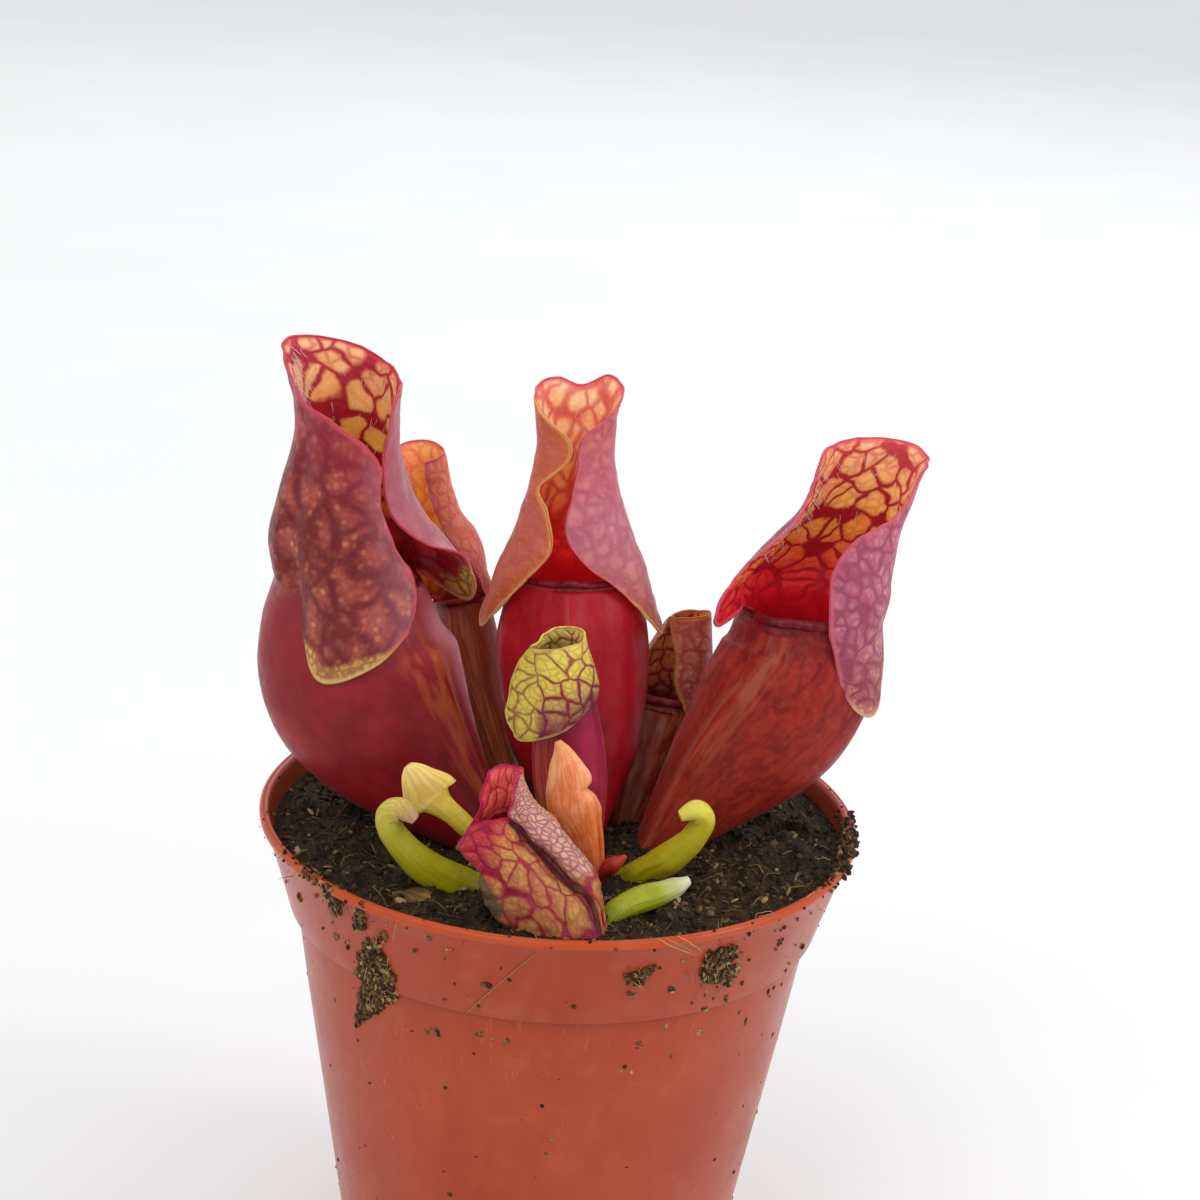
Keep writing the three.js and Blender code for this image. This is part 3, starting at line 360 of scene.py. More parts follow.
def leaf_skin(name, body, cell, vein, edge, **look):
    """Waxy leaf skin: body colours along the tube, cells and veins on the hood, a coloured margin.

    body, cell and vein are ramps over height: 0 foot, 0.5 mouth, 1 top of the hood. The edge's
    ramp runs from the margin's middle to the lobes' tips. The look changes LEAF_LOOK."""
    o = {**LEAF_LOOK, **look}
    s = Shader(name, Coat_Weight=o["coat"], Coat_Roughness=0.3, Sheen_Weight=o["sheen"],
               Sheen_Roughness=0.45, Subsurface_Weight=0.35, Subsurface_Scale=0.0014,
               Subsurface_Radius=(1.0, 0.22, 0.14), Specular_IOR_Level=o["shine"])
    s.surface.inputs["Sheen Tint"].default_value = rgb("ffd8e0")
    p = s.place()
    q = s.attribute("q", True)
    zone = s.attribute("zone", True)
    mar, height, around = (s.part(zone, k) for k in (0, 1, 2))
    tall = s.times(height, 0.5)
    tip = s.attribute("tip")
    # nets: rounded cells between broad soft veins, and small spots between the fine ones
    size, fine = o["size"], o["fine"]
    kind = "3D" if o.get("solid") else "2D"
    sheet = p if o.get("solid") else s.scaled(s.attribute("map", True), (o["spread"], 1, 1))
    wp = s.warped(s.warped(sheet, size * 1.6, size * 0.9, p), size * 0.5, size * 0.3, p)
    place = s.cells(wp, size, kind)
    big = s.edges(wp, size, kind)
    fp = s.warped(sheet, fine * 1.3, fine * o["warp"], p)
    small = s.edges(fp, fine, kind)
    grit = s.cells(fp, fine, kind)
    width, soft = o["width"], o["soft"]
    uneven = s.noise(p, size * 1.6, 1.0)
    wide = s.times(s.step(uneven, 0.3, 0.7, 0.2, 1.5), width)
    broad = s.inverse(s.step(big, wide, s.add(wide, soft)))
    if "round" in o:
        broad = s.math("MAXIMUM", broad, s.step(place.outputs["Distance"], o["round"],
                                                o["round"] + o["round_soft"]))
    thin = s.inverse(s.step(small, 0.03, o["spot"]))
    faint = o["thin"]
    if "rim_net" in o:
        # smaller cells towards the margin
        faint = s.step(mar, 1.8, 5.5, o["rim_net"], faint)
    net = s.math("MAXIMUM", broad, s.times(thin, faint))
    # long veins of the tube
    lq = s.scaled(s.warped(q, 6, 1.6), (1, 1, 0.16))
    run = s.edges(lq, o["stripe"])
    stripe = s.inverse(s.step(run, 0.0, 0.22))
    # cells vary in colour
    vary = s.noise(p, o["blotch"], 2.0, 0.6)
    # the tube's colours run up into the hood's, over a longer way at the back
    rise = s.times(s.math("SUBTRACT", height, 1.0), s.step(around, 0.45, 0.8, 1.0, 0.36))
    rise = s.nudged(rise, vary, 0.06)
    tube = s.step(rise, -0.08, 0.06, 1.0, 0.0)
    fleck = s.noise(p, fine * 0.8, 2.0, 0.6)
    inner = s.mix(s.step(vary, 0.38, 0.66), s.ramp(tall, cell), s.ramp(tall, o.get("cell2", cell)))
    inner = s.mix(s.times(s.step(fleck, 0.35, 0.75), o["fleck"]), inner, s.ramp(tall, o.get("light", cell)))
    if "spots" in o:
        # small pale windows, some brighter than others
        window = s.times(s.step(grit.outputs["Distance"], 0.08, 0.5, 1.0, 0.0),
                         s.step(s.part(grit.outputs["Color"], 0), 0.0, 1.0, 0.25, 1.0))
        inner = s.mix(s.times(window, o["spots"]), inner, s.ramp(tall, o.get("light", cell)))
    heart = s.step(place.outputs["Distance"], 0.0, 0.5, 1.0, 0.0)
    tint = s.times(s.add(s.times(heart, 0.5), s.times(s.part(place.outputs["Color"], 1), 0.5)), o["heart"])
    inner = s.mix(tint, inner, s.ramp(tall, o.get("light", cell)))
    colour = s.mix(s.times(net, o["net"]), inner, s.ramp(tall, vein))
    # body of the tube: clouded, with streaks beside the keel
    cloud = s.noise(s.scaled(q, (1, 1, 0.5)), 5.0, 3.0, 0.6)
    skin = s.mix(s.step(cloud, 0.32, 0.7), s.ramp(tall, body), s.ramp(tall, o.get("body2", body)))
    skin = s.mix(s.times(stripe, o["stripes"]), skin, s.ramp(tall, o.get("stripe_colour", vein)))
    mottle = s.step(s.noise(s.scaled(q, (1, 1, 0.55)), o["mottle_size"], 2.0, 0.55), 0.42, 0.66)
    skin = s.mix(s.times(mottle, o["mottle"]), skin,
                 rgb(o["mottle_colour"]) if "mottle_colour" in o else s.ramp(tall, cell))
    keel = o["keel"]
    near = s.step(around, keel[0], keel[1], 1.0, 0.0)
    streak = s.noise(s.scaled(q, (1, 1, 0.1)), 1.1, 2.0, 0.6)
    near = s.times(s.times(near, s.step(streak, 0.42, 0.6)), s.step(height, 0.78, 0.93, 1.0, 0.0))
    skin = s.mix(s.times(near, o["streaks"]), skin, rgb(o["streak_colour"]))
    colour = s.mix(tube, colour, skin)
    # painted shade: the crease darkened where the leaf folds
    if "crease" in o:
        fold = s.nudged(around, vary, 0.03)
        colour = s.mix(s.times(s.step(fold, 0.0, 0.05, 1.0, 0.0), 0.8), colour, rgb(o["crease"]))
    # tips and margin
    if "tip_cell" in o:
        lace = net if o.get("tip_same") else s.math("MAXIMUM", s.inverse(s.step(small, 0.02, 0.32)),
                                                    s.times(broad, 0.5))
        tips = s.mix(s.times(lace, 0.8), rgb(o["tip_cell"]), rgb(o["tip_vein"]))
        colour = s.mix(s.step(s.nudged(tip, vary, 0.5), 0.35, 0.75), colour, tips)
    # a tint laid over the marked patch: the centre leaf's own orange on its left flap, and on the left leaf
    # a pink painted highlight
    if "blush_and_light" in o:
        colour = s.mix(s.times(s.attribute("dry"), o["blush_and_light_amount"]), colour, rgb(o["blush_and_light"]))
    if "dirt" in o:
        patch = s.step(s.nudged(s.attribute("dry"), vary, 0.6), 0.4, 0.6)
        colour = s.mix(patch, colour, s.mix(fleck, rgb(o["dirt"]), rgb(o.get("dirt2", o["dirt"]))))
    margin = s.step(s.nudged(mar, vary, 0.5), o["edge_in"], o["edge_out"], 1.0, 0.0)
    margin = s.times(margin, s.step(height, 0.985, 1.0))
    colour = s.mix(s.times(margin, o["edge_amount"]), colour, s.ramp(tip, edge))
    # surface: cells bulge between sunk veins, fine skin grain
    relief = s.add(s.times(s.step(big, 0.0, 0.3), 0.7), s.times(s.step(small, 0.0, 0.3), 0.25))
    relief = s.times(relief, s.step(height, 0.9, 1.05, 0.25, 1.0))
    grain = s.noise(p, 0.22, 2.0)
    relief = s.add(relief, s.times(grain, 0.12))
    rough = s.step(s.noise(p, 2.0, 2.0), 0.3, 0.7, 0.36, 0.5)
    if "lit" in o:
        # light that comes through the thin hood
        passed = s.mix(s.step(height, *o["lit_from"]), (0, 0, 0, 1), colour)
        s.tree.links.new(passed, s.surface.inputs["Emission Color"])
        s.surface.inputs["Emission Strength"].default_value = o["lit"]
    return s.finish(colour, rough, s.bump(relief, o["relief"], 0.7))


# ---------------------------------------------------------------- leaves
# half width, in degrees, of the wing down the front of a tube, and under its lip
TUBE_KEEL = 9.5
LIP_KEEL = 11.0
# columns of each free lobe, rows of the hood and of the tube, and points round it, on a big leaf
LOBE_COLUMNS, HOOD_ROWS, TUBE_ROWS, TUBE_SIDES = 46, 100, 84, 144
# share of the tube below which it is solid
SOLID_FOOT = 0.27


def frames(spine, facing, t, reach):
    """Points of the spine with their tangent, side and front."""
    last = len(spine) - 1
    p = along(spine, t)
    tangent = unit(along(spine, np.minimum(t + reach, last))[..., :3]
                   - along(spine, np.maximum(t - reach, 0))[..., :3])
    a = math.radians(facing)
    side = np.broadcast_to([-math.sin(a), math.cos(a), 0.0], tangent.shape)
    side = unit(side - (side * tangent).sum(-1, keepdims=True) * tangent)
    return p, tangent, side, np.cross(side, tangent)


def rings(spine, facing, t, phi, ribs=0.0, keel=LIP_KEEL, reach=0.05):
    """Points of the tube, an array of len(t) x len(phi); phi is the angle from the leaf's front."""
    p, _, side, front = frames(spine, facing, np.asarray(t, float), reach)
    a = np.radians(phi)[None, :, None]
    near = np.degrees(np.arctan2(np.sin(a), np.cos(a))) / keel
    p = p[:, None, :]
    wing = p[..., 5:6] * np.exp(-near * near)
    rib = 1 + ribs * np.cos(7 * a + 1) * np.minimum(1, p[..., 3:4] / 6)
    wide = p[..., 3:4] * rib
    deep = wide * p[..., 4:5]
    return p[..., :3] + front[:, None] * (deep * np.cos(a) + wing) + side[:, None] * (wide * np.sin(a))


def tube_points(leaf, t, phi, keel):
    """Tube rings; a tuck draws a stretch of the mouth inwards and up into a rounded shoulder."""
    spine = np.asarray(leaf["spine"], float)
    pts = rings(spine, leaf["facing"], t, phi, leaf.get("ribs", 0), keel=keel,
                reach=leaf.get("reach", 0.05))
    if "tuck" in leaf:
        low, high, inward, lift = leaf["tuck"]
        last = len(spine) - 1
        ang = (np.asarray(phi, float) + 180) % 360 - 180
        w = (smooth(ang, low, low + 22) * (1 - smooth(ang, high - 22, high)))[None, :, None]
        w = w * smooth(np.asarray(t, float), last - 1.5, last + 0.2)[:, None, None] ** 1.5
        centre = along(spine, np.asarray(t, float))[:, None, :3]
        out = pts - centre
        out[..., 2] = 0
        pts = pts - unit(out) * inward * w + np.array([0, 0, lift]) * w
    return pts


def hood_points(leaf, mouth, u, v):
    """Points of the hood over its net of (turn, radius, height) and those three numbers."""
    net = np.asarray(leaf["hood"], float)
    columns = np.stack([along(c, np.asarray(v) * (net.shape[1] - 1)) for c in net])
    h = along(columns, u)
    lean = leaf.get("lean", (0, 0))
    lift = np.maximum(0, h[..., 2])
    a = np.radians(h[..., 0] + leaf["facing"])
    x = mouth[0] + lean[0] * lift + h[..., 1] * np.cos(a)
    y = mouth[1] + lean[1] * lift + h[..., 1] * np.sin(a)
    return np.stack([x, y, mouth[2] + h[..., 2]], -1), h


def round_corners(hood, h, u, v, corners):
    """Pull the sheet's square corners in to round lobe tips; corners maps (end, top) to radii in u and v."""
    uu, vv = np.meshgrid(u, v, indexing="ij")
    for (end, top), (ru, rv) in corners.items():
        du = (u[-1] - uu if end else uu - u[0]) / ru
        dv = (v[-1] - vv if top else vv - v[0]) / rv
        a, b = np.clip(1 - du, 0, 1), np.clip(1 - dv, 0, 1)
        da, db = a - a * np.sqrt(1 - b * b / 2), b - b * np.sqrt(1 - a * a / 2)
        uu = uu + (-da if end else da) * ru
        vv = vv + (-db if top else db) * rv
    i = np.clip(np.interp(uu, u, np.arange(len(u))), 0, len(u) - 1.001)
    j = np.clip(vv * (len(v) - 1), 0, len(v) - 1.001)
    i0, j0 = i.astype(int), j.astype(int)
    fi, fj = (i - i0)[..., None], (j - j0)[..., None]

    def pick(g):
        return ((g[i0, j0] * (1 - fi) + g[i0 + 1, j0] * fi) * (1 - fj)
                + (g[i0, j0 + 1] * (1 - fi) + g[i0 + 1, j0 + 1] * fi) * fj)
    return (pick(hood), pick(h)) if corners else (hood, h)


def thinned(wall, gap):
    """Wall thickness, less near the free margin."""
    return wall * (0.42 + 0.58 * smooth(gap, 0, 1.6))


def vertex_normals(points, faces):
    """Unit normals at the vertices of a sheet of quads."""
    n = np.zeros_like(points)
    a, b, c, d = (points[faces[:, k]] for k in range(4))
    f = np.cross(c - a, d - b)
    for k in range(4):
        np.add.at(n, faces[:, k], f)
    return unit(n)


def close_sheet(name, points, faces, inner, loop, floor_ring, gap, wall, attrs, skins):
    """Turn an outer skin into a leaf with an inner skin, a half-round margin along loop and a floor."""
    normals = vertex_normals(points, faces)
    wall = thinned(wall, gap)
    under = points - normals * wall[:, None]
    count = len(points)
    inner_faces = faces[inner][:, ::-1] + count
    on_loop = np.zeros(count, bool)
    on_loop[loop] = True
    # outward: away from the sheet's own neighbours
    total, times = np.zeros((count, 3)), np.zeros(count)
    for k in range(4):
        for m in range(4):
            off = ~on_loop[faces[:, m]]
            np.add.at(total, faces[off, k], points[faces[off, m]])
            np.add.at(times, faces[off, k], 1)
    near = total[loop] / np.maximum(times[loop], 1)[:, None]
    outward = points[loop] - near
    n = normals[loop]
    outward = unit(outward - (outward * n).sum(1, keepdims=True) * n)
    for _ in range(2):
        outward = unit(outward + 0.5 * (np.roll(outward, 1, 0) + np.roll(outward, -1, 0)))
    allp = [points, under]
    source = [np.arange(count), np.arange(count)]
    parts, kinds = [faces, inner_faces], [np.zeros(len(faces), int), np.ones(len(inner_faces), int)]
    steps = 5
    half = wall[loop][:, None] * 0.5
    for k in range(1, steps):
        angle = math.pi * k / steps
        allp.append(points[loop] - n * half * (1 - math.cos(angle)) + outward * half * math.sin(angle))
        source.append(loop)
    levels = [loop] + [2 * count + k * len(loop) + np.arange(len(loop))
                       for k in range(steps - 1)] + [loop + count]
    nxt = np.roll(np.arange(len(loop)), -1)
    for one, two in zip(levels[:-1], levels[1:]):
        parts.append(np.stack([one, two, two[nxt], one[nxt]], -1))
        kinds.append(np.zeros(len(loop), int))
    total = 2 * count + (steps - 1) * len(loop)
    ring = floor_ring + count
    allp.append(under[floor_ring].mean(0)[None])
    source.append(floor_ring[:1])
    parts.append(np.stack([ring, np.roll(ring, -1), np.full(len(ring), total)], -1))
    kinds.append(np.ones(len(ring), int))
    source = np.concatenate(source)
    piece(name + "_leaf", np.concatenate(allp), parts, skins, [name],
                 {key: value[source] for key, value in attrs.items()}, np.concatenate(kinds))


# where hairs grow on the inner skins: leaf to roots and ways
HAIRS = {}


def pitcher(name, leaf, outside, inside, lip_skin, fine):
    """Tube, hood and rolled lip of one leaf as a closed sheet with a round margin."""
    spine = np.asarray(leaf["spine"], float)
    last = len(spine) - 1
    facing = leaf["facing"]
    around = int(TUBE_SIDES * fine)
    rows = int(TUBE_ROWS * fine)
    phi = np.arange(around) * 360.0 / around
    t = np.linspace(0, last, rows + 1)
    tube = tube_points(leaf, t, phi, TUBE_KEEL)
    mouth = spine[-1, :3]
    net = np.asarray(leaf["hood"], float)
    ka, kb = leaf["attached"]
    top = len(net) - 1
    us = np.linspace(ka, kb, 400)
    turns = along(net[:, 0, 0], us)
    joined = [j for j in range(around) if turns[0] - 2 <= phi[j] <= turns[-1] + 2]
    mid = np.interp(phi[joined], turns, us)
    nfree = int(LOBE_COLUMNS * fine)
    u = np.concatenate([np.linspace(0, mid[0], nfree + 1)[:-1], mid,
                        np.linspace(mid[-1], top, nfree + 1)[1:]])
    tall = int(HOOD_ROWS * fine)
    v = np.linspace(0, 1, tall + 1)
    hood, h = hood_points(leaf, mouth, u, v)
    hood, h = round_corners(hood, h, u, v, leaf.get("corners", {}))
    for _ in range(leaf.get("ease", 0)):
        # iron out the folds where bent rings crowd together
        bent = (tube[2:] + tube[:-2]) / 2 - tube[1:-1]
        tube[1:-1] += 0.5 * bent * smooth(t[1:-1], 2.0, 3.2)[:, None, None]
    # the last rings tilt: keep the back of the tube rising evenly up to the mouth
    deep = rows // 7
    share = (np.arange(deep + 1) / deep)[:, None, None]
    even = tube[-1 - deep] + (tube[-1] - tube[-1 - deep]) * share
    behind = smooth(-np.cos(np.radians(phi)), 0.0, 0.5)[None, :, None]
    tube[-1 - deep:] += (even - tube[-1 - deep:]) * behind
    ring = tube[-1][joined]
    shift = ring - hood[nfree:nfree + len(joined), 0]
    left = shift[0] * np.exp(-((mid[0] - u[:nfree]) / 0.6) ** 2)[:, None]
    back = shift[-1] * np.exp(-((u[nfree + len(joined):] - mid[-1]) / 0.6) ** 2)[:, None]
    shift = np.concatenate([left, shift, back])
    hood = hood + shift[:, None] * ((1 - v) ** 2 * (1 + 2 * v))[None, :, None]
    # vertex numbers: the hood's attached columns start on the tube's last ring
    base = (rows + 1) * around
    number = base + np.arange(len(u) * (tall + 1)).reshape(len(u), tall + 1)
    number[nfree:nfree + len(joined), 0] = rows * around + np.array(joined)
    points = np.concatenate([tube.reshape(-1, 3), hood.reshape(-1, 3)])
    a, b = number[:-1, :-1], number[1:, :-1]
    c, d = number[1:, 1:], number[:-1, 1:]
    hood_faces = np.stack([a, b, c, d], -1).reshape(-1, 4)
    tube_faces = grid_faces(rows + 1, around, True)
    faces = np.concatenate([tube_faces, hood_faces])
    # free margin of the hood, in order
    rim = [number[k, 0] for k in range(nfree, 0, -1)] + [number[0, k] for k in range(tall + 1)]
    rim += [number[k, tall] for k in range(1, len(u))] + [number[-1, k] for k in range(tall - 1, -1, -1)]
    rim += [number[k, 0] for k in range(len(u) - 2, nfree + len(joined) - 2, -1)]
    edge_points = points[rim]
    gap = np.full(len(points), 99.0)
    hood_ids = np.arange(base, len(points))
    for start in range(0, len(hood_ids), 2000):
        ids = hood_ids[start:start + 2000]
        gap[ids] = np.sqrt(((points[ids][:, None] - edge_points[None]) ** 2).sum(-1)).min(1)
    gap[rim] = 0
    normals = vertex_normals(points, faces)
    # attributes
    length = run_length(along(spine, t)[:, :3])
    tq = np.stack([np.broadcast_to(10 * np.cos(np.radians(phi + facing)), (rows + 1, around)),
                   np.broadcast_to(10 * np.sin(np.radians(phi + facing)), (rows + 1, around)),
                   np.broadcast_to(length[:, None], (rows + 1, around))], -1).reshape(-1, 3)
    ha = np.radians(h[..., 0] + facing)
    climb = np.cumsum(np.linalg.norm(np.diff(hood, axis=1), axis=2), axis=1)
    hl = length[-1] + h[:, :1, 2] + np.concatenate([np.zeros((len(u), 1)), climb], 1)
    hq = np.stack([10 * np.cos(ha), 10 * np.sin(ha), hl], -1).reshape(-1, 3)
    q = np.concatenate([tq, hq])
    # a flat map of the skin: across from the middle of the back, and along the leaf
    back = nfree + len(joined) // 2
    across = np.concatenate([np.zeros((1, tall + 1)),
                             np.cumsum(np.linalg.norm(np.diff(hood, axis=0), axis=2), axis=0)])
    sheet = np.zeros((len(points), 3))
    sheet[:base, 0] = (np.radians(phi - phi[joined[len(joined) // 2]])[None]
                       * along(spine, t)[:, 3:4]).ravel()
    sheet[:base, 1] = np.repeat(length, around)
    sheet[base:, 0] = (across - across[back]).ravel()
    sheet[base:, 1] = hl.ravel()
    fold = np.minimum(phi, 360 - phi) / 180
    turned = np.abs((h[..., 0] + 180) % 360 - 180) / 180
    zone = np.zeros((len(points), 3))
    zone[:, 0] = gap
    zone[:base, 1] = np.repeat(t / last, around)
    zone[base:, 1] = 1 + np.broadcast_to(v, (len(u), tall + 1)).ravel()
    zone[:base, 2] = np.tile(fold, rows + 1)
    zone[base:, 2] = turned.ravel()
    part = np.zeros(len(points))
    part[base - around:base] = 0.5
    part[rows * around + np.array(joined)] = mid / top
    part[base:] = np.repeat(u / top, tall + 1)
    tip = np.zeros(len(points))
    dry = np.zeros(len(points))
    where = {"u": part, "gap": gap, "height": zone[:, 1], "p": points, "mouth": mouth}
    if "tip" in leaf:
        tip = np.where(zone[:, 1] >= 1, leaf["tip"](where), 0)
    if "dry" in leaf:
        dry = leaf["dry"](where)
    # soft waves and puckers
    wave = fractal(points / 5.0, 3, 3) * 0.22
    wave = wave * np.where(zone[:, 1] > 1, 1.0, 0.35) * smooth(zone[:, 1], 0.25, 0.45)
    crisp = noise(points / 1.7, 5) * 0.28 * np.exp(-gap / 1.4)
    points = points + normals * (wave + crisp)[:, None] * smooth(np.abs(zone[:, 1] - 1), 0, 0.06)[:, None]
    start = int(rows * SOLID_FOOT)
    inner = (zone[faces, 1] >= start / rows - 1e-6).all(1)
    loop = rim + [rows * around + j for j in joined[-1:]]
    loop += [rows * around + j % around for j in range(joined[-1] + 1, joined[0] + around)]
    attrs = {"q": q, "zone": zone, "tip": tip, "dry": dry, "map": sheet}
    close_sheet(name, points, faces, inner, np.array(loop), np.arange(start * around, (start + 1) * around),
                      gap, leaf["wall"], attrs, [outside, inside])
    lip(name, leaf, spine, mouth, turns[0], turns[-1], lip_skin)
    draw = np.random.default_rng(4)
    picked = []
    for many, (u0, u1), (v0, v1) in leaf.get("hairs", []):
        i = np.searchsorted(u, draw.uniform(u0, u1, many)).clip(1, len(u) - 2)
        j = np.rint(draw.uniform(v0, v1, many) * tall).astype(int).clip(1, tall - 1)
        picked.append(number[i, j])
    if picked:
        picked = np.concatenate(picked)
        n = vertex_normals(points, faces)[picked]
        thick = thinned(leaf["wall"], gap[picked])
        HAIRS[name] = (points[picked] - n * thick[:, None], -0.7 * n + np.array([0, 0, -0.75]))


def lip(name, leaf, spine, mouth, turn_a, turn_b, skin):
    """Rolled lip along the open front of the mouth."""
    phi = np.linspace(turn_b - 354, turn_a - 6, 72)
    ring = tube_points(leaf, [len(spine) - 1], phi, LIP_KEEL)[0]
    size = leaf["lip"]
    s = np.sin(np.pi * (np.arange(72) + 0.6) / 72.2)
    out = ring - mouth
    out[:, 2] = 0
    out = unit(out)
    nib = bell(phi, 0, 8) * leaf.get("nib", 0.0)
    centre = ring + out * (size * 0.55 * s - 0.25 + nib)[:, None]
    centre[:, 2] += -0.15 + nib * 0.8
    radius = (0.3 + (size - 0.3) * np.sqrt(s)) * (1 + 0.06 * noise(centre * 0.8, 9))
    sweep(name + "_lip", centre, radius, skin, 14)


def sweep(name, centre, radius, skin, sides):
    """Round strand along points, with closed ends."""
    tangent = unit(np.gradient(centre, axis=0))
    side = np.cross(tangent, [0.0, 0.0, 1.0])
    side = unit(np.where(np.linalg.norm(side, axis=1, keepdims=True) < 1e-3, [1.0, 0, 0], side))
    top = np.cross(side, tangent)
    a = np.arange(sides) * 2 * np.pi / sides
    r = np.asarray(radius)[:, None, None]
    pts = centre[:, None] + side[:, None] * np.cos(a)[None, :, None] * r
    pts = pts + top[:, None] * np.sin(a)[None, :, None] * r
    n = len(centre)
    pts = np.concatenate([pts.reshape(-1, 3), centre[:1] - tangent[:1] * radius[0] * 0.6,
                          centre[-1:] + tangent[-1:] * radius[-1] * 0.6])
    piece(name, pts, [grid_faces(n, sides, True), ring_caps(n, sides)], [skin])


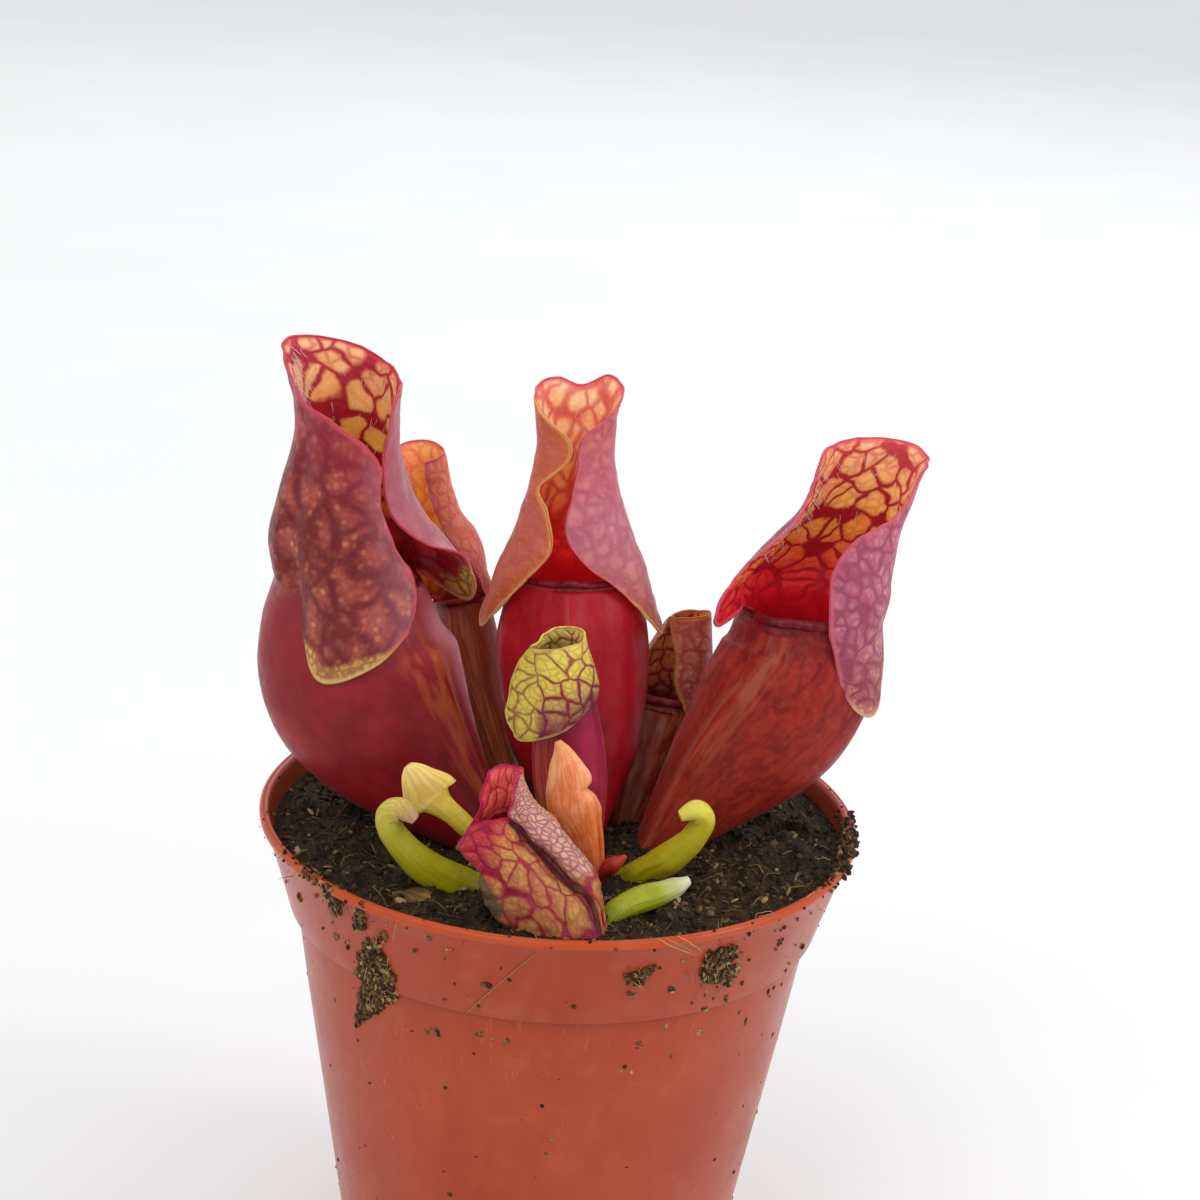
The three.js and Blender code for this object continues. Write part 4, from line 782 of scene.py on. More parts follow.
LEAVES = {
    "pitcher_centre": {
        "facing": -90, "ribs": 0.012, "lean": (-0.02, 0.02), "wall": 0.8, "lip": 0.6, "attached": (3, 7),
        "spine": points("""
            3.8 -7 70 1.7 1 0, 4.2 -6.3 77 2.3 1 0, 4 -4.8 82 4.3 0.95 0.4, 2.6 -1.2 87 8.2 0.9 0.8,
            1.3 3 93 10.5 0.92 1, 0.4 7 100 11.6 0.95 1, 0 9.2 106 11.3 0.95 0.9,
            -0.5 10.7 111.4 9.7 0.95 0.8, -0.6 11 113.8 9 0.95 0.4"""),
        "hood": net("""
            64 14.2 -5, 42 11 0.5, 14 9.4 4.2, -6 8.2 8.5, -2 6.8 13.5, 4 5.7 18, 10 5.6 22.4,
                58 6.3 26;
            76 14.8 -7.5, 66 12.4 -0.5, 56 10.4 3.8, 50 8.8 8, 48 7.2 13, 46 6.1 18, 52 5.8 23.2,
                76 6.7 27.6;
            88 13.4 -5, 83 12 -0.5, 79 10.3 3.8, 76 8.7 8.2, 74 7 13, 74 6 18, 76 5.8 23.5,
                92 6.6 28.6;
            98 9 0, 98 10.2 2.7, 98 9.2 5.6, 98 7.9 9.2, 98 6.6 13.5, 98 5.8 18, 98 5.8 23,
                106 6.5 29.2;
            140 9 0, 140 9.7 3, 140 9 6, 140 7.8 9.5, 140 6.6 13.5, 140 5.8 18, 140 5.8 22.8,
                140 6.5 29.5;
            180 9 0, 180 9.7 3, 180 9 6, 180 7.8 9.5, 180 6.6 13.5, 180 5.8 18, 180 5.8 22.4,
                178 6.4 27.4;
            220 9 0, 220 9.7 3, 220 9 6, 220 7.8 9.5, 220 6.6 13.5, 220 5.8 18, 220 5.8 22.4,
                216 6.6 28.6;
            262 9 0, 262 10.2 2.7, 262 9.2 5.6, 262 7.9 9.2, 262 6.7 13.5, 262 5.9 18, 262 6 22.2,
                262 6.8 27.5;
            275 13 -5, 278 11.6 -0.5, 280 10.2 3.8, 282 8.8 8.2, 284 7.4 12.8, 284 6.4 17.5,
                282 6.2 21.8, 276 6.9 26.6;
            288 13.8 -8, 296 12.2 -1.5, 306 10.6 3.2, 310 9.2 8.4, 302 8 13, 314 6.8 18, 312 6.4 22,
                288 6.9 26.1;
            300 12.6 -5, 322 10.8 1, 341 9.3 6, 334 8.6 11.4, 318 7.9 14.8, 351 6.7 19.2,
                348 6.5 22.6, 304 6.8 25.4"""),
    },
    "pitcher_left": {
        "facing": -38, "ribs": 0.008, "lean": (-0.08, 0), "wall": 0.8, "lip": 0.45, "attached": (3, 7),
        "spine": points("""
            -4.6 -13.4 70 2 1 0, -7.2 -12.4 76 2.9 1 0.6, -14.4 -8.4 82.3 6.4 1 1.4,
            -23.6 -3.4 89.3 12.2 1 1.8, -30.4 0 97.5 15.7 1 1.8, -32.6 1.5 105 14.2 1 1,
            -32.2 2 110 12.7 1 0.4, -32 2 113 12.2 1 0"""),
        "hood": net("""
            45 18.6 -1.4, 34 16.4 5.4, 12 11.8 8.8, -8 9 13, -8 8 20, 9 8.2 29;
            57 17.6 -3.8, 48 16 3.6, 38 11.6 9.6, 34 8.2 14.6, 36 7.3 22, 40 8 30;
            70 14.6 -2.4, 66 13.4 4.6, 60 10.4 10.6, 60 8.4 16.2, 60 7.5 23, 60 8 30.6;
            80 12.2 0, 80 12.2 5.5, 80 10.8 11.5, 80 9 17.5, 82 7.9 24, 85 8.2 31.8;
            120 12.2 0, 120 12.4 6, 120 11.2 12.5, 120 9.3 19, 120 8 25.5, 120 8.4 33.6;
            180 12.2 0, 180 12.7 6.5, 180 11.3 13, 180 9.3 20, 180 8 27, 180 8.7 35.4;
            218 12.2 0, 218 12.5 6.5, 218 10.9 13, 218 8.7 20, 218 7.6 27, 222 9 35;
            262 12.2 0, 262 13.3 6, 262 11.9 12, 264 9.6 18.5, 266 8.3 24.5, 262 8.6 29;
            283 14.4 -6.4, 285 13.9 3.6, 286 12.1 11.5, 288 10.3 17.8, 289 8.9 23, 290 8.6 27.2;
            299 16.9 -9.8, 303 16 -0.6, 306 14.2 8, 308 11.8 15, 309 9.7 21, 310 8.8 25.4;
            324 17 -6.9, 329 15.8 1, 330 14.2 8.5, 330 11.6 14.5, 329 9.7 19.5, 330 9 23.2;
            342 16.2 -2.5, 350 14.8 4, 344 12.2 9, 340 10.4 14, 341 9.6 17.2, 345 9.2 19.6"""),
    },
    "pitcher_right": {
        "facing": -120, "ribs": 0.02, "lean": (0.32, 0.05), "wall": 0.8, "lip": 0.8, "attached": (2, 6),
        "spine": points("""
            11.2 -9.5 70 1.7 1 0, 13.2 -8 75 2.5 1 0.8, 17.3 -5.4 80.6 5 1 1.5,
            23.5 -1.5 87.5 8.7 1 1.6, 30 2 95 11.7 1 1.5, 34.2 4.5 103 12 1 1.2,
            35.2 5.7 109 10.8 1 0.8, 35.2 6 112.5 10.2 1 0.4"""),
        "hood": net("""
            62 12.5 -13.4, 52 12.8 -7.8, 44 12.5 -1.8, 33 11.8 4.5, 26 10.6 9.6, 38 9 14, 78 8 17,
                104 8.2 22.6;
            92 12.8 -12.6, 90 12.6 -6.4, 82 12.2 0, 72 11.4 4.8, 68 10 9.5, 74 8.7 13.4, 92 7.9 17,
                114 8.2 23.2;
            125 10.2 0, 123 10.6 3, 120 9.8 6.5, 118 8.9 10, 116 8.3 13, 116 8 16, 120 8 19.5,
                128 8.2 23.5;
            165 10.2 0, 165 10.8 4, 165 10.1 8, 165 9.2 11.5, 165 8.5 15, 165 8.1 18.5,
                165 7.9 21.5, 165 8.1 24.4;
            215 10.2 0, 215 11.1 4, 215 10.3 8, 215 9.2 11.5, 215 8.4 15, 215 8.1 18.5, 215 8 21.5,
                215 8.2 24.2;
            262 10.2 0, 262 11.2 4, 262 10.4 8, 262 8.8 11.5, 262 7.6 15, 262 7.4 18, 262 7.4 21,
                262 7.6 23.6;
            308 10.2 0, 308 12 3.5, 308 11.4 7.5, 304 9.2 11, 298 7.4 14, 290 7.2 17.4,
                284 7.3 20.4, 280 7.5 23.3;
            322 14.2 -1.8, 322 15 2.8, 320 13.2 7.8, 316 10 11.2, 310 7.6 14.2, 302 7.3 17.4,
                294 7.4 20.4, 287 7.5 23.1;
            337 18.4 -0.2, 333 17.6 3.8, 328 14.6 7.8, 326 11.4 10.8, 324 8.8 13.8, 312 7.5 17.2,
                302 7.4 20.2, 293 7.5 22.9"""),
    },
    "pitcher_back_left": {
        "facing": -110, "ribs": 0.01, "lean": (-0.33, 0.15), "wall": 0.7, "lip": 0.6, "attached": (2, 4),
        "spine": points("""
            -4 -3.5 70 1.4 1 0, -6 0 77 1.9 1 0, -10 8 84 3 1 0.4, -14 16 91 4.3 1 0.6,
            -16 20.5 97 4.9 1 0.6, -17.2 22.5 102 4.5 1 0.4, -17.8 23 104.5 4.2 1 0.2"""),
        "hood": net("""
            70 7 1, 62 7 5, 50 6.4 8.5, 30 3.8 12, 20 3.4 17, 30 3.8 21.5;
            90 6.8 0, 85 6.4 4.8, 80 5.8 9, 62 3.8 12.6, 60 3.4 17.5, 62 3.8 22;
            108 4.2 0, 106 5.5 5, 105 5.1 9.5, 104 3.6 13, 104 3.4 18, 104 3.8 22.5;
            180 4.2 0, 180 5 5.5, 180 4.6 10, 180 3.8 14, 180 3.4 18.6, 180 3.9 23;
            260 4.2 0, 260 5.4 5, 262 5 9.5, 262 4 13.5, 262 3.6 18, 262 4 22.4;
            285 6.5 -0.5, 290 6.3 4.6, 292 5.5 9, 292 4.2 13.2, 292 3.7 17.4, 290 4 21.6;
            305 6.8 1, 320 6 5.5, 325 5 9.5, 322 4.2 13, 318 3.8 16.8, 310 4 20.6"""),
    },
    "pitcher_back_right": {
        "facing": -125, "ribs": 0.03, "lean": (0.2, 0.2), "wall": 0.7, "lip": 0.7, "attached": (2, 4),
        "spine": points("""
            9.4 -0.5 70 1.8 1 0, 10.6 4 76 3.2 1 0.2, 12.4 9 82 4.7 1 0.5, 14 13.4 87 5.7 1 0.7,
            15 15.6 90.2 5.9 1 0.4, 15.3 16.3 92.4 5.5 1 0.2"""),
        "hood": net("""
            73 6.8 -1.4, 53 6 1.5, 35 5.4 4.8, 23 4.6 8.8, -16 3.8 13.4;
            96 7.2 -2, 90 6.9 1.6, 80 6 5, 72 4.9 9.2, 54 3.8 14;
            112 5.5 0, 112 6.2 3.2, 112 5.6 6.4, 115 4.6 9.8, 116 3.4 14;
            180 5.5 0, 180 5.9 3.4, 180 5.4 6.8, 180 4.4 10.2, 180 2.4 13.3;
            262 5.5 0, 262 6.1 3.2, 262 5.7 6.2, 255 4.6 9.6, 256 2.6 13;
            285 6 0.2, 288 6.6 2.8, 288 5.9 5.8, 290 4.5 9.4, 306 2.9 12.9;
            300 6.2 0.6, 308 7.2 2.6, 312 5.8 5.6, 324 4.1 9.4, 338 3.5 12.9"""),
    },
    "pitcher_front_small": {
        "facing": -150, "ribs": 0, "lean": (-0.15, 0), "wall": 0.7, "lip": 0.6, "attached": (3, 5),
        "spine": points("""
            4.6 -15.5 70 1.3 1 0, 4.4 -15.5 77 2 1 0, 3 -14.8 83 3.8 1 0.4, 1.8 -14.2 89 5.2 1 0.6,
            1 -14 95 5.3 1 0.6, 0.5 -14 100 4.6 1 0.4, 0.3 -14 102.5 4.2 1 0.2"""),
        "hood": net("""
            5 8.6 -4.4, -8 9.2 -0.5, -12 8 3.5, -10 6.3 7, 0 5.3 8.9;
            25 8 -3.6, 22 8 0, 20 7.2 3.8, 24 6 7.2, 40 5.2 9.6;
            55 6.6 -2.2, 56 6.6 0.8, 60 6.2 4.2, 66 5.6 7.4, 85 5 10.4;
            105 4.2 0, 105 5.2 2.8, 105 5 5.4, 108 4.6 8, 118 4.3 10.6;
            180 4.2 0, 180 4.8 2.6, 180 4.5 5.4, 180 3.6 8.2, 176 2.9 10.9;
            255 4.2 0, 255 5.1 2.6, 255 4.9 5, 256 4 7.6, 262 2.6 10.3;
            285 6 -1.5, 288 6.2 1.6, 290 5.7 4.2, 296 4.4 7, 326 3 9.5;
            312 7 -2.6, 322 7 0.5, 328 6.3 3.4, 332 5.4 6.4, 347 4.6 8.6"""),
    },
    "pitcher_front_old": {
        "facing": -85, "ribs": 0, "lean": (-0.2, 0.1), "wall": 0.7, "lip": 0.5, "attached": (2, 4),
        "spine": points("""
            6.4 -29 70 1.4 1 0, 6.4 -31 76 2.8 1 0.3, 3.6 -32.4 79.8 5.6 0.75 1,
            -0.6 -32.2 83.8 7 0.7 1.3, -4.6 -31.4 87.4 6.8 0.7 1.1, -7 -30.8 89.6 6.1 0.75 0.6"""),
        "hood": net("""
            10 6.4 -0.5, 14 6 1, 30 5 3, 60 3.6 5, 90 2.8 6.8;
            50 6.8 -0.6, 52 6.2 1.2, 60 5 3.2, 80 3.6 5.4, 110 2.6 7.4;
            90 6.1 0, 90 6.1 1.6, 95 4.9 3.6, 105 3.6 5.8, 130 2.5 8;
            180 6.1 0, 180 5.8 2, 180 4.6 4.2, 180 3.4 6.4, 180 2.6 8.4;
            255 6.1 0, 252 5.9 1.8, 246 4.8 3.8, 236 3.6 5.8, 220 2.7 7.8;
            285 7 -1, 278 6.6 0.8, 264 5.2 2.6, 250 4 4.8, 235 2.9 7;
            320 6.8 -1.6, 305 6.8 0, 285 5.6 2, 262 4.2 4.2, 244 3 6.4"""),
    },
}

SHOOTS = {
    "bud_orange": {"facing": -90, "spine": points("""
        6.8 -19.6 70 1.2 0.8 0, 6.9 -20.6 77 2 0.8 0, 5.8 -21.6 84 3.2 0.62 0,
        3.4 -22.2 90 3.6 0.6 0, 0.8 -22.4 95.6 2.7 0.6 0, -0.9 -22.2 99.8 0.7 0.8 0""")},
    "shoot_left_green": {"facing": -60, "spine": points("""
        -6 -21 70 1.4 1 0, -8 -22.6 75 2.3 1 0, -12.5 -24.6 77.6 2.7 1 0.3, -18 -26 80.8 2.5 1 0.3,
        -22.4 -26.6 85.4 1.9 1 0.2, -23.4 -27 88.8 1.9 1 0, -21.6 -27.6 90.2 1.7 1 0,
        -19.6 -28 88.9 0.8 1 0""")},
    "shoot_left_yellow": {"facing": -90, "spine": points("""
        -1.5 -19 70 0.9 1 0, -3 -19.3 76 1 1 0, -8.5 -20.5 81 1.2 1 0, -13.6 -21.6 86 1.4 1 0,
        -16.4 -22 89 2 0.8 0, -18 -22 90.7 3.9 0.32 0, -21.6 -22 94.6 0.8 0.8 0""")},
    "shoot_right_green": {"facing": -120, "spine": points("""
        9.5 -15.8 70 1.1 1 0, 9 -17 75 1.7 1 0, 12 -18.4 78 2.2 1 0.3, 16 -19.4 81.4 2.3 1 0.3,
        19.5 -20.2 85.4 1.9 1 0.2, 20.8 -20.8 88.6 1.7 1 0, 19.6 -21.6 90.4 1.6 1 0,
        17.4 -22.2 89.6 0.8 1 0""")},
    "shoot_right_low": {"facing": -90, "spine": points("""
        11 -25.5 70 0.8 1 0, 10.2 -28 75.6 1.2 1 0, 13 -27 78 1.7 1 0, 16.4 -25 79 1.7 1 0,
        18.8 -24 79.8 0.9 1 0""")},
    "sprout_red": {"facing": -90, "spine": points("""
        5.8 -12 72 0.7 1 0, 6.4 -12.6 77 1 1 0, 8 -13 79 1.1 1 0, 9.6 -13.2 79.8 0.45 1 0""")},
    "dead_leaf": {"facing": -60, "spine": points("""
        -22.5 -29.6 76.6 0.5 1 0, -20.5 -29.2 78 1.6 0.35 0, -18 -29.6 77.6 1.9 0.3 0,
        -15.6 -29.4 76.8 0.5 1 0""")},
}


# ---------------------------------------------------------------- materials of the leaves
PITCHERS = {
    "pitcher_left": dict(
        out=dict(
            body="0.1 6c0a14 0.28 7c0e1a 0.44 8a2630 0.5 7a202c", warp=0.35, blush_and_light="c88090",
            blush_and_light_amount=0.5, body2="0.1 8c1018 0.3 981e26 0.5 8e323c",
            cell="0 90302c 0.5 8c2c2e 0.7 842428 1 94262e", cell2="0 a8503a 0.5 a0463e 0.7 943834 1 a84450",
            light="0.5 d89468 0.75 c47452 1 c0665a", vein="0 5c0e1c 0.5 640f1e 0.75 5e0c1a 1 8c1530",
            edge="0 c04a5a 0.6 c88a5c 1 cdb26c", tip_cell="d0b048", tip_vein="8c3c40", size=5.0, fine=1.35,
            width=0.0, soft=0.3, thin=0.0, spots=0.85, net=0.8, heart=0.1, solid=True, mottle=0.2,
            stripes=0.08, streaks=0.7, streak_colour="a84a26", keel=(0.05, 0.15)),
        inn=dict(
            body="0 8a1018", cell="0.5 8a0c18 0.6 8c1418 0.7 b44c20 0.8 cc8828 1 d49460",
            cell2="0.5 940e1a 0.6 a0201c 0.7 c87428 0.8 d89c34 1 dca078",
            light="0.5 981a1c 0.62 b83c24 0.8 dcac48 1 e0b490", vein="0.5 78101c 0.8 8a1018 1 a02638",
            edge="0 b82a40 1 c8a050", tip_cell="c8a848", tip_vein="7a1420", size=3.9, fine=2.1, width=0.02,
            soft=0.15, thin=0.12, rim_net=0.5, spot=0.2, lit=0.3, round=0.42, spread=0.72)),
    "pitcher_centre": dict(
        out=dict(
            body="0.1 7c0814 0.3 980c1a 0.46 a01220 0.5 8c1020", shine=0.12, sheen=0.0, coat=0.02,
            body2="0.1 940a18 0.35 b01824 0.5 9c1424", cell="0 a03038 0.5 c4645a 0.7 c46a76 1 c85a62",
            cell2="0 a03038 0.5 d08460 0.7 d08088 1 d07068", light="0.5 d4a080 0.75 d29aa4 1 dc9a80",
            vein="0 70101e 0.5 9a3a4c 0.75 a4506c 1 a83048", edge="0 c8606a 0.5 d29458 1 d8b070",
            tip_cell="d08048", tip_vein="a44840", size=2.8, fine=1.2, width=0.0, soft=0.4, thin=0.35,
            spot=0.4, net=0.55, spots=0.6, solid=True, edge_out=0.6, blush_and_light="c8643c", blush_and_light_amount=0.65,
            mottle=0.06, stripes=0.06, streaks=0.5, streak_colour="b04038", keel=(0.01, 0.035)),
        inn=dict(
            body="0 8a1018 0.45 b00c14 1 c01018", cell="0.5 c80c14 0.66 cc1416 0.8 cc5a30 1 d88a5c",
            cell2="0.5 d81018 0.66 d43018 0.8 d88848 1 e4c898", light="0.5 c82020 0.8 d89a50 1 ecd8ac",
            vein="0.5 98101a 0.8 9c1420 1 b82c40", edge="0 c84a54 1 d8a05c", size=3.2, fine=1.1, width=0.0,
            soft=0.3, thin=0.2, round=0.25, round_soft=0.45, net=0.7, lit=0.4, lit_from=(0.7, 1.0))),
    "pitcher_right": dict(
        out=dict(
            body="0.1 7c2010 0.3 881c14 0.45 7c1618 0.5 681018", shine=0.14, mottle_colour="b03e2a",
            mottle_size=0.9, body2="0.1 94301a 0.35 a02820 0.5 7c1820",
            cell="0 b05a30 0.5 a84a4c 0.7 b85a76 1 bc546c", cell2="0 b86a38 0.5 b46a60 0.7 c87084 1 cc6c80",
            light="0.5 c89a78 0.75 c88a96 1 cc8890", vein="0 5e141e 0.5 7a2438 0.75 8c3e5c 1 96304c",
            edge="0 c8586a 0.6 cc8a80 1 d0a484", tip_cell="d6a080", tip_vein="a84458", size=3.0, fine=1.3,
            width=0.0, soft=0.24, thin=0.5, spot=0.32, net=0.85, spots=0.55, solid=True, mottle=0.32,
            stripes=0.5, stripe_colour="0 7c2418 0.3 641018 0.5 541018", stripe=2.0, streaks=0.55,
            streak_colour="a8583c", keel=(0.03, 0.12)),
        inn=dict(
            body="0 8a1018 0.45 b00c18 1 c01020", cell="0.5 c80a1c 0.58 c41a20 0.72 cc7030 1 d8946c",
            cell2="0.5 d41024 0.58 cc3024 0.72 d89438 1 dca078", light="0.5 c4303a 0.75 dca44c 1 e4b488",
            vein="0.5 a01020 0.65 8c1220 0.8 8a1420 1 b03438", edge="0 cc4a5c 1 c86a60", size=3.2,
            spread=0.72, fine=1.6, width=0.03, soft=0.15, thin=0.25, rim_net=0.5, spot=0.24, lit=0.36,
            lit_from=(0.7, 1.0), round=0.5, heart=0.45)),
    "pitcher_back_left": dict(
        out=dict(
            body="0 6e2a18 0.3 8a3a20 0.5 7c2a1c", body2="0 84381e 0.5 a04c28",
            cell="0.5 c05038 0.75 d87060 1 dc785c", light="0.5 d89050 1 e8a478",
            vein="0 6e2018 0.5 a03830 1 c05048", edge="0 c4606a", size=2.0, fine=0.8, width=0.0, soft=0.26,
            thin=0.2, net=0.5, solid=True),
        inn=dict(
            body="0 7a2014", cell="0.5 a03018 0.7 cc7424 1 dc7450", cell2="0.5 b84a1c 0.7 dca030 1 e09a58",
            light="0.5 c8702c 1 e4b058", vein="0.5 88201a 1 b04438", edge="0 c8606a", size=2.6, fine=1.0,
            width=0.0, soft=0.3, thin=0.15, net=0.4, lit=0.3)),
    "pitcher_back_right": dict(
        out=dict(
            body="0 7c1c10 0.3 8c1c16 0.5 7c1418", body2="0 94301a 0.5 a02c20", mottle_colour="a08a50",
            mottle_size=1.8, stripe_colour="0 3c1410 0.5 4c1016",
            cell="0 a8604a 0.5 a8443c 0.75 b04844 1 b45040", light="0.5 cc9070 1 d09468",
            vein="0 48141a 0.5 7c1c24 1 8c2828", edge="0 b8783c 1 c08040", size=2.4, fine=0.95, width=0.0,
            soft=0.24, thin=0.3, spots=0.8, net=0.6, edge_in=0.2, edge_out=0.8, solid=True, mottle=0.26,
            fleck=0.3, stripes=0.4, stripe=1.8, warp=0.35, streaks=0.3, streak_colour="a0442a"),
        inn=dict(
            body="0 6a1a1c", cell="0.5 a03828 1 c07840", light="0.5 b86838 1 d0a058",
            vein="0.5 681018 1 8c2c2a", edge="0 b8783c 1 c08040", size=2.4, fine=0.9, width=0.03, soft=0.2,
            lit=0.15)),
    "pitcher_front_small": dict(
        out=dict(
            body="0 9a7a30 0.2 8a1c2c 0.36 900c30 0.5 701034",
            body2="0 a89038 0.2 a0283a 0.36 b01c48 0.5 86203c",
            cell="0.5 6c1434 0.6 80283c 0.72 c8a844 0.82 d8c03c 1 dccc58",
            light="0.5 b07050 0.64 d8c468 1 e4d880", vein="0 70183a 0.5 641034 0.8 84283c 1 a86840",
            tip_cell="ccb848", tip_vein="803038", edge="0 d4c468", size=2.8, fine=1.3, width=0.02,
            soft=0.14, thin=0.35, spot=0.2, tip_same=True, edge_in=0.15, edge_out=0.6, edge_amount=0.5,
            stripes=0.15, mottle=0.06),
        inn=dict(
            body="0 8a2034", cell="0.5 a03038 0.8 d0bc54 1 e0d078", light="0.5 c08048 1 e8e094",
            vein="0.5 701436 1 b0703c", edge="0 d8c868", size=2.0, fine=0.8, width=0.04, soft=0.08,
            thin=0.2)),
    "pitcher_front_old": dict(
        out=dict(
            body="0 9c3444", cell="0.5 c07a3c 0.75 bc4a3c 1 b4203c",
            cell2="0.5 c8a044 0.75 c08038 1 bc2c3c", light="0.5 d4b460 0.75 c88c48 1 c85048",
            vein="0.5 8c1830 0.75 961c34 1 8c1030", edge="0 a81440", size=2.9, fine=0.95, width=0.0,
            soft=0.16, thin=0.35, round=0.55, fleck=0.45, blotch=3.0, tip_cell="d4a488", tip_vein="8c3c5c",
            crease="5c1030", dirt="7c6448", dirt2="4e3c2a", edge_in=0.1, edge_out=0.7, relief=0.0003),
        inn=dict(
            body="0 8a1a30", cell="0.5 c43c4c 1 d0464c", light="0.5 d06458 1 dc7860",
            vein="0.5 701422 1 7c1422", edge="0 b01c4c", size=2.8, fine=1.1, width=0.0, soft=0.14,
            thin=0.15, net=0.85, relief=0.0004, lit=0.25)),
}

LIP_COLOURS = {"pitcher_centre": "5c0a14", "pitcher_right": "540c16", "pitcher_left": "64101c"}

LEAVES["pitcher_left"]["tip"] = lambda w: (
    smooth(w["u"], 0.62, 0.72) * smooth(w["mouth"][2] - w["p"][:, 2], 2.0,
                                        7.5) * smooth(-w["gap"], -4.5, -0.8)
    + smooth(-w["u"], -0.3, -0.05) * smooth(-w["p"][:, 2], -119, -114) * smooth(-w["gap"], -6.0, -2.0))
# the left leaf's marked patch is painted light: a pink highlight on its right lobe, the top of the hood's
# other end and the right of the tube
LEAVES["pitcher_left"]["dry"] = lambda w: np.where(
    w["height"] >= 1,
    smooth(-w["u"], -0.3, -0.1) + 0.5 * smooth(w["u"], 0.85, 0.97) * smooth(w["p"][:, 2], 104, 112),
    smooth(w["p"][:, 0], -24, -19) * smooth(w["p"][:, 1], -6, -1) * smooth(w["p"][:, 2], 88, 100))
LEAVES["pitcher_centre"]["tip"] = lambda w: (
    smooth(w["u"], 0.76, 0.9) * 0.62 + smooth(-np.minimum(w["u"], 1 - w["u"]), -0.2, -0.05)
    * smooth(-w["p"][:, 2], -116, -109) * 0.8) * smooth(-w["gap"], -3.5, -0.6)
LEAVES["pitcher_right"]["tip"] = lambda w: (
    smooth(-w["u"], -0.2, -0.02) * smooth(-w["p"][:, 2], -104, -99.5) * smooth(-w["gap"], -3.6, -0.8))
LEAVES["pitcher_front_small"]["tip"] = lambda w: smooth(-w["u"], -0.26, -0.1)
LEAVES["pitcher_left"].update(tuck=(-110, 92, 3.2, 1.6), reach=0.4, ease=60, corners={(0, 0): (1.5, 0.34)})
LEAVES["pitcher_centre"]["dry"] = lambda w: smooth(w["u"], 0.68, 0.8) * (w["height"] >= 1)
LEAVES["pitcher_centre"].update(nib=0.7, corners={(0, 0): (0.6, 0.12), (1, 0): (0.6, 0.12)})
LEAVES["pitcher_right"]["corners"] = {(0, 0): (0.9, 0.17), (1, 0): (0.8, 0.2)}
LEAVES["pitcher_back_right"]["corners"] = {(0, 0): (0.7, 0.2), (1, 0): (0.8, 0.25)}
LEAVES["pitcher_front_small"]["corners"] = {(0, 0): (0.6, 0.16), (0, 1): (0.6, 0.12)}

LEAVES["pitcher_left"]["hairs"] = [(150, (5.1, 6.7), (0.62, 0.96)), (60, (2.6, 5.2), (0.5, 0.92))]
LEAVES["pitcher_centre"]["hairs"] = [(60, (3.0, 7.0), (0.4, 0.92))]
LEAVES["pitcher_right"]["hairs"] = [(80, (3.0, 7.0), (0.3, 0.92))]


def lip_skin(name, code):
    """Glossy skin of a rolled lip."""
    s = Shader(name, Coat_Weight=0.05, Coat_Roughness=0.3, Specular_IOR_Level=0.15)
    p = s.place()
    colour = s.mix(s.step(s.noise(p, 1.4, 3.0), 0.35, 0.7), rgb(code), rgb("7c1824"))
    # painted highlights: paler streaks along the lip
    colour = s.mix(s.times(s.step(s.noise(s.scaled(p, (1, 1, 3)), 0.6), 0.5, 0.8), 0.25), colour,
                   rgb("a04a48"))
    return s.finish(colour, s.step(s.noise(p, 0.8), 0.3, 0.7, 0.22, 0.38),
                    s.bump(s.noise(p, 0.5, 3.0), 0.0001))


